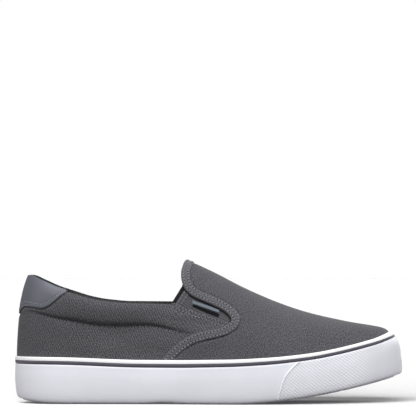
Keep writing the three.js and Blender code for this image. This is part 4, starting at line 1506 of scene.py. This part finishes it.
# %% [markdown]
# ## Floor, light and camera
# The photograph is a plain product shot on white, lit softly from above and in front. Suns
# with a wide angle give such soft light evenly, where lamps nearby would fade over the floor.
# The paper has two suns of its own, by light linking, so that it is as white as in the
# photograph and keeps the shadow under the toe without washing out the sole.

# %% Stage
def stage(size=60.0):
    corners = [(-size, -size, 0), (size, -size, 0), (size, size, 0), (-size, size, 0)]
    data = bpy.data.meshes.new("paper_floor")
    data.from_pydata(corners, [], [(0, 1, 2, 3)])
    floor = bpy.data.objects.new("paper_floor", data)
    bpy.context.scene.collection.objects.link(floor)
    material, _, _ = start_material("white paper", Base_Color=(0.85, 0.85, 0.85, 1),
                                    Roughness=0.9, Specular_IOR_Level=0.1)
    data.materials.append(material)
    floor.visible_diffuse = False
    floor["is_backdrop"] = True
    return floor


def light(name, place, spread_degrees, strength, on_paper=False):
    """A distant soft light from the direction of a place, for the paper or for the rest."""
    data = bpy.data.lights.new(name, "SUN")
    data.angle, data.energy = math.radians(spread_degrees), strength
    lamp = bpy.data.objects.new(name, data)
    lamp.location = place
    lamp.rotation_euler = (-Vector(place)).to_track_quat("-Z", "Y").to_euler()
    bpy.context.scene.collection.objects.link(lamp)
    lit = bpy.data.collections.new(name + " lights")
    lit.objects.link(paper)
    lit.collection_objects[0].light_linking.link_state = "INCLUDE" if on_paper else "EXCLUDE"
    lamp.light_linking.receiver_collection = lit


paper = stage()
# name, place it shines from, angle in degrees, strength
light("left_key", (-0.8, -1.0, 2.1), 40, 2.0)
light("right_key", (1.0, -0.9, 2.0), 40, 1.95)
light("low_fill", (0.1, -2.0, 0.5), 60, 0.6)
light("left_fill", (-2.0, -0.6, 0.6), 50, 0.6)
light("right_fill", (2.0, -0.6, 0.5), 50, 0.62)
light("back_key", (0.4, 1.5, 0.9), 60, 1.25)
light("paper_front", (-0.2, -1.0, 0.33), 34, 10.0, on_paper=True)
light("paper_top", (0.0, -0.2, 2.0), 90, 0.4, on_paper=True)

# %% [markdown]
# ## The room and the camera
# The backdrop is the world's own white, seen by the camera alone, because a white room would
# light the shoe flat from all sides. The camera stands far off with a long lens: the
# photograph shows hardly any perspective, and a near camera would swell the shoe's middle.

# %% The room: white to the camera, dim to everything else
world = bpy.data.worlds.new("room")
bpy.context.scene.world = world
world.use_nodes = True
air = Wires(world.node_tree)
background = world.node_tree.nodes["Background"]
seen = air.put("ShaderNodeLightPath").outputs["Is Camera Ray"]
air.set(background.inputs[1], air.span(seen, 0.0, 1.0, 0.12, 1.0, kind="LINEAR"))
background.inputs[0].default_value = (1, 1, 1, 1)

# %% A long lens from the photograph's side
DISTANCE, PICTURE_WIDTH = 3.0, 0.319  # in metres
camera_data = bpy.data.cameras.new("camera")
camera = bpy.data.objects.new("camera", camera_data)
bpy.context.scene.collection.objects.link(camera)
camera_data.sensor_width = 36
camera_data.lens = camera_data.sensor_width * DISTANCE / PICTURE_WIDTH
camera.location = (0, -DISTANCE, 0.1)
target = Vector((0, 0, 0.1492))
camera.rotation_euler = (target - camera.location).to_track_quat("-Z", "Y").to_euler()
bpy.context.scene.camera = camera
bpy.context.scene.view_settings.view_transform = "Standard"
bpy.context.scene.view_settings.look = "None"

# %% [markdown]
# ## The visible box
# The box of all visible pieces is printed in millimetres.

# %% The box of the visible pieces, printed
low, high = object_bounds()
print("visual box in mm:", [round(1000 * v, 1) for v in (*low, *high)])
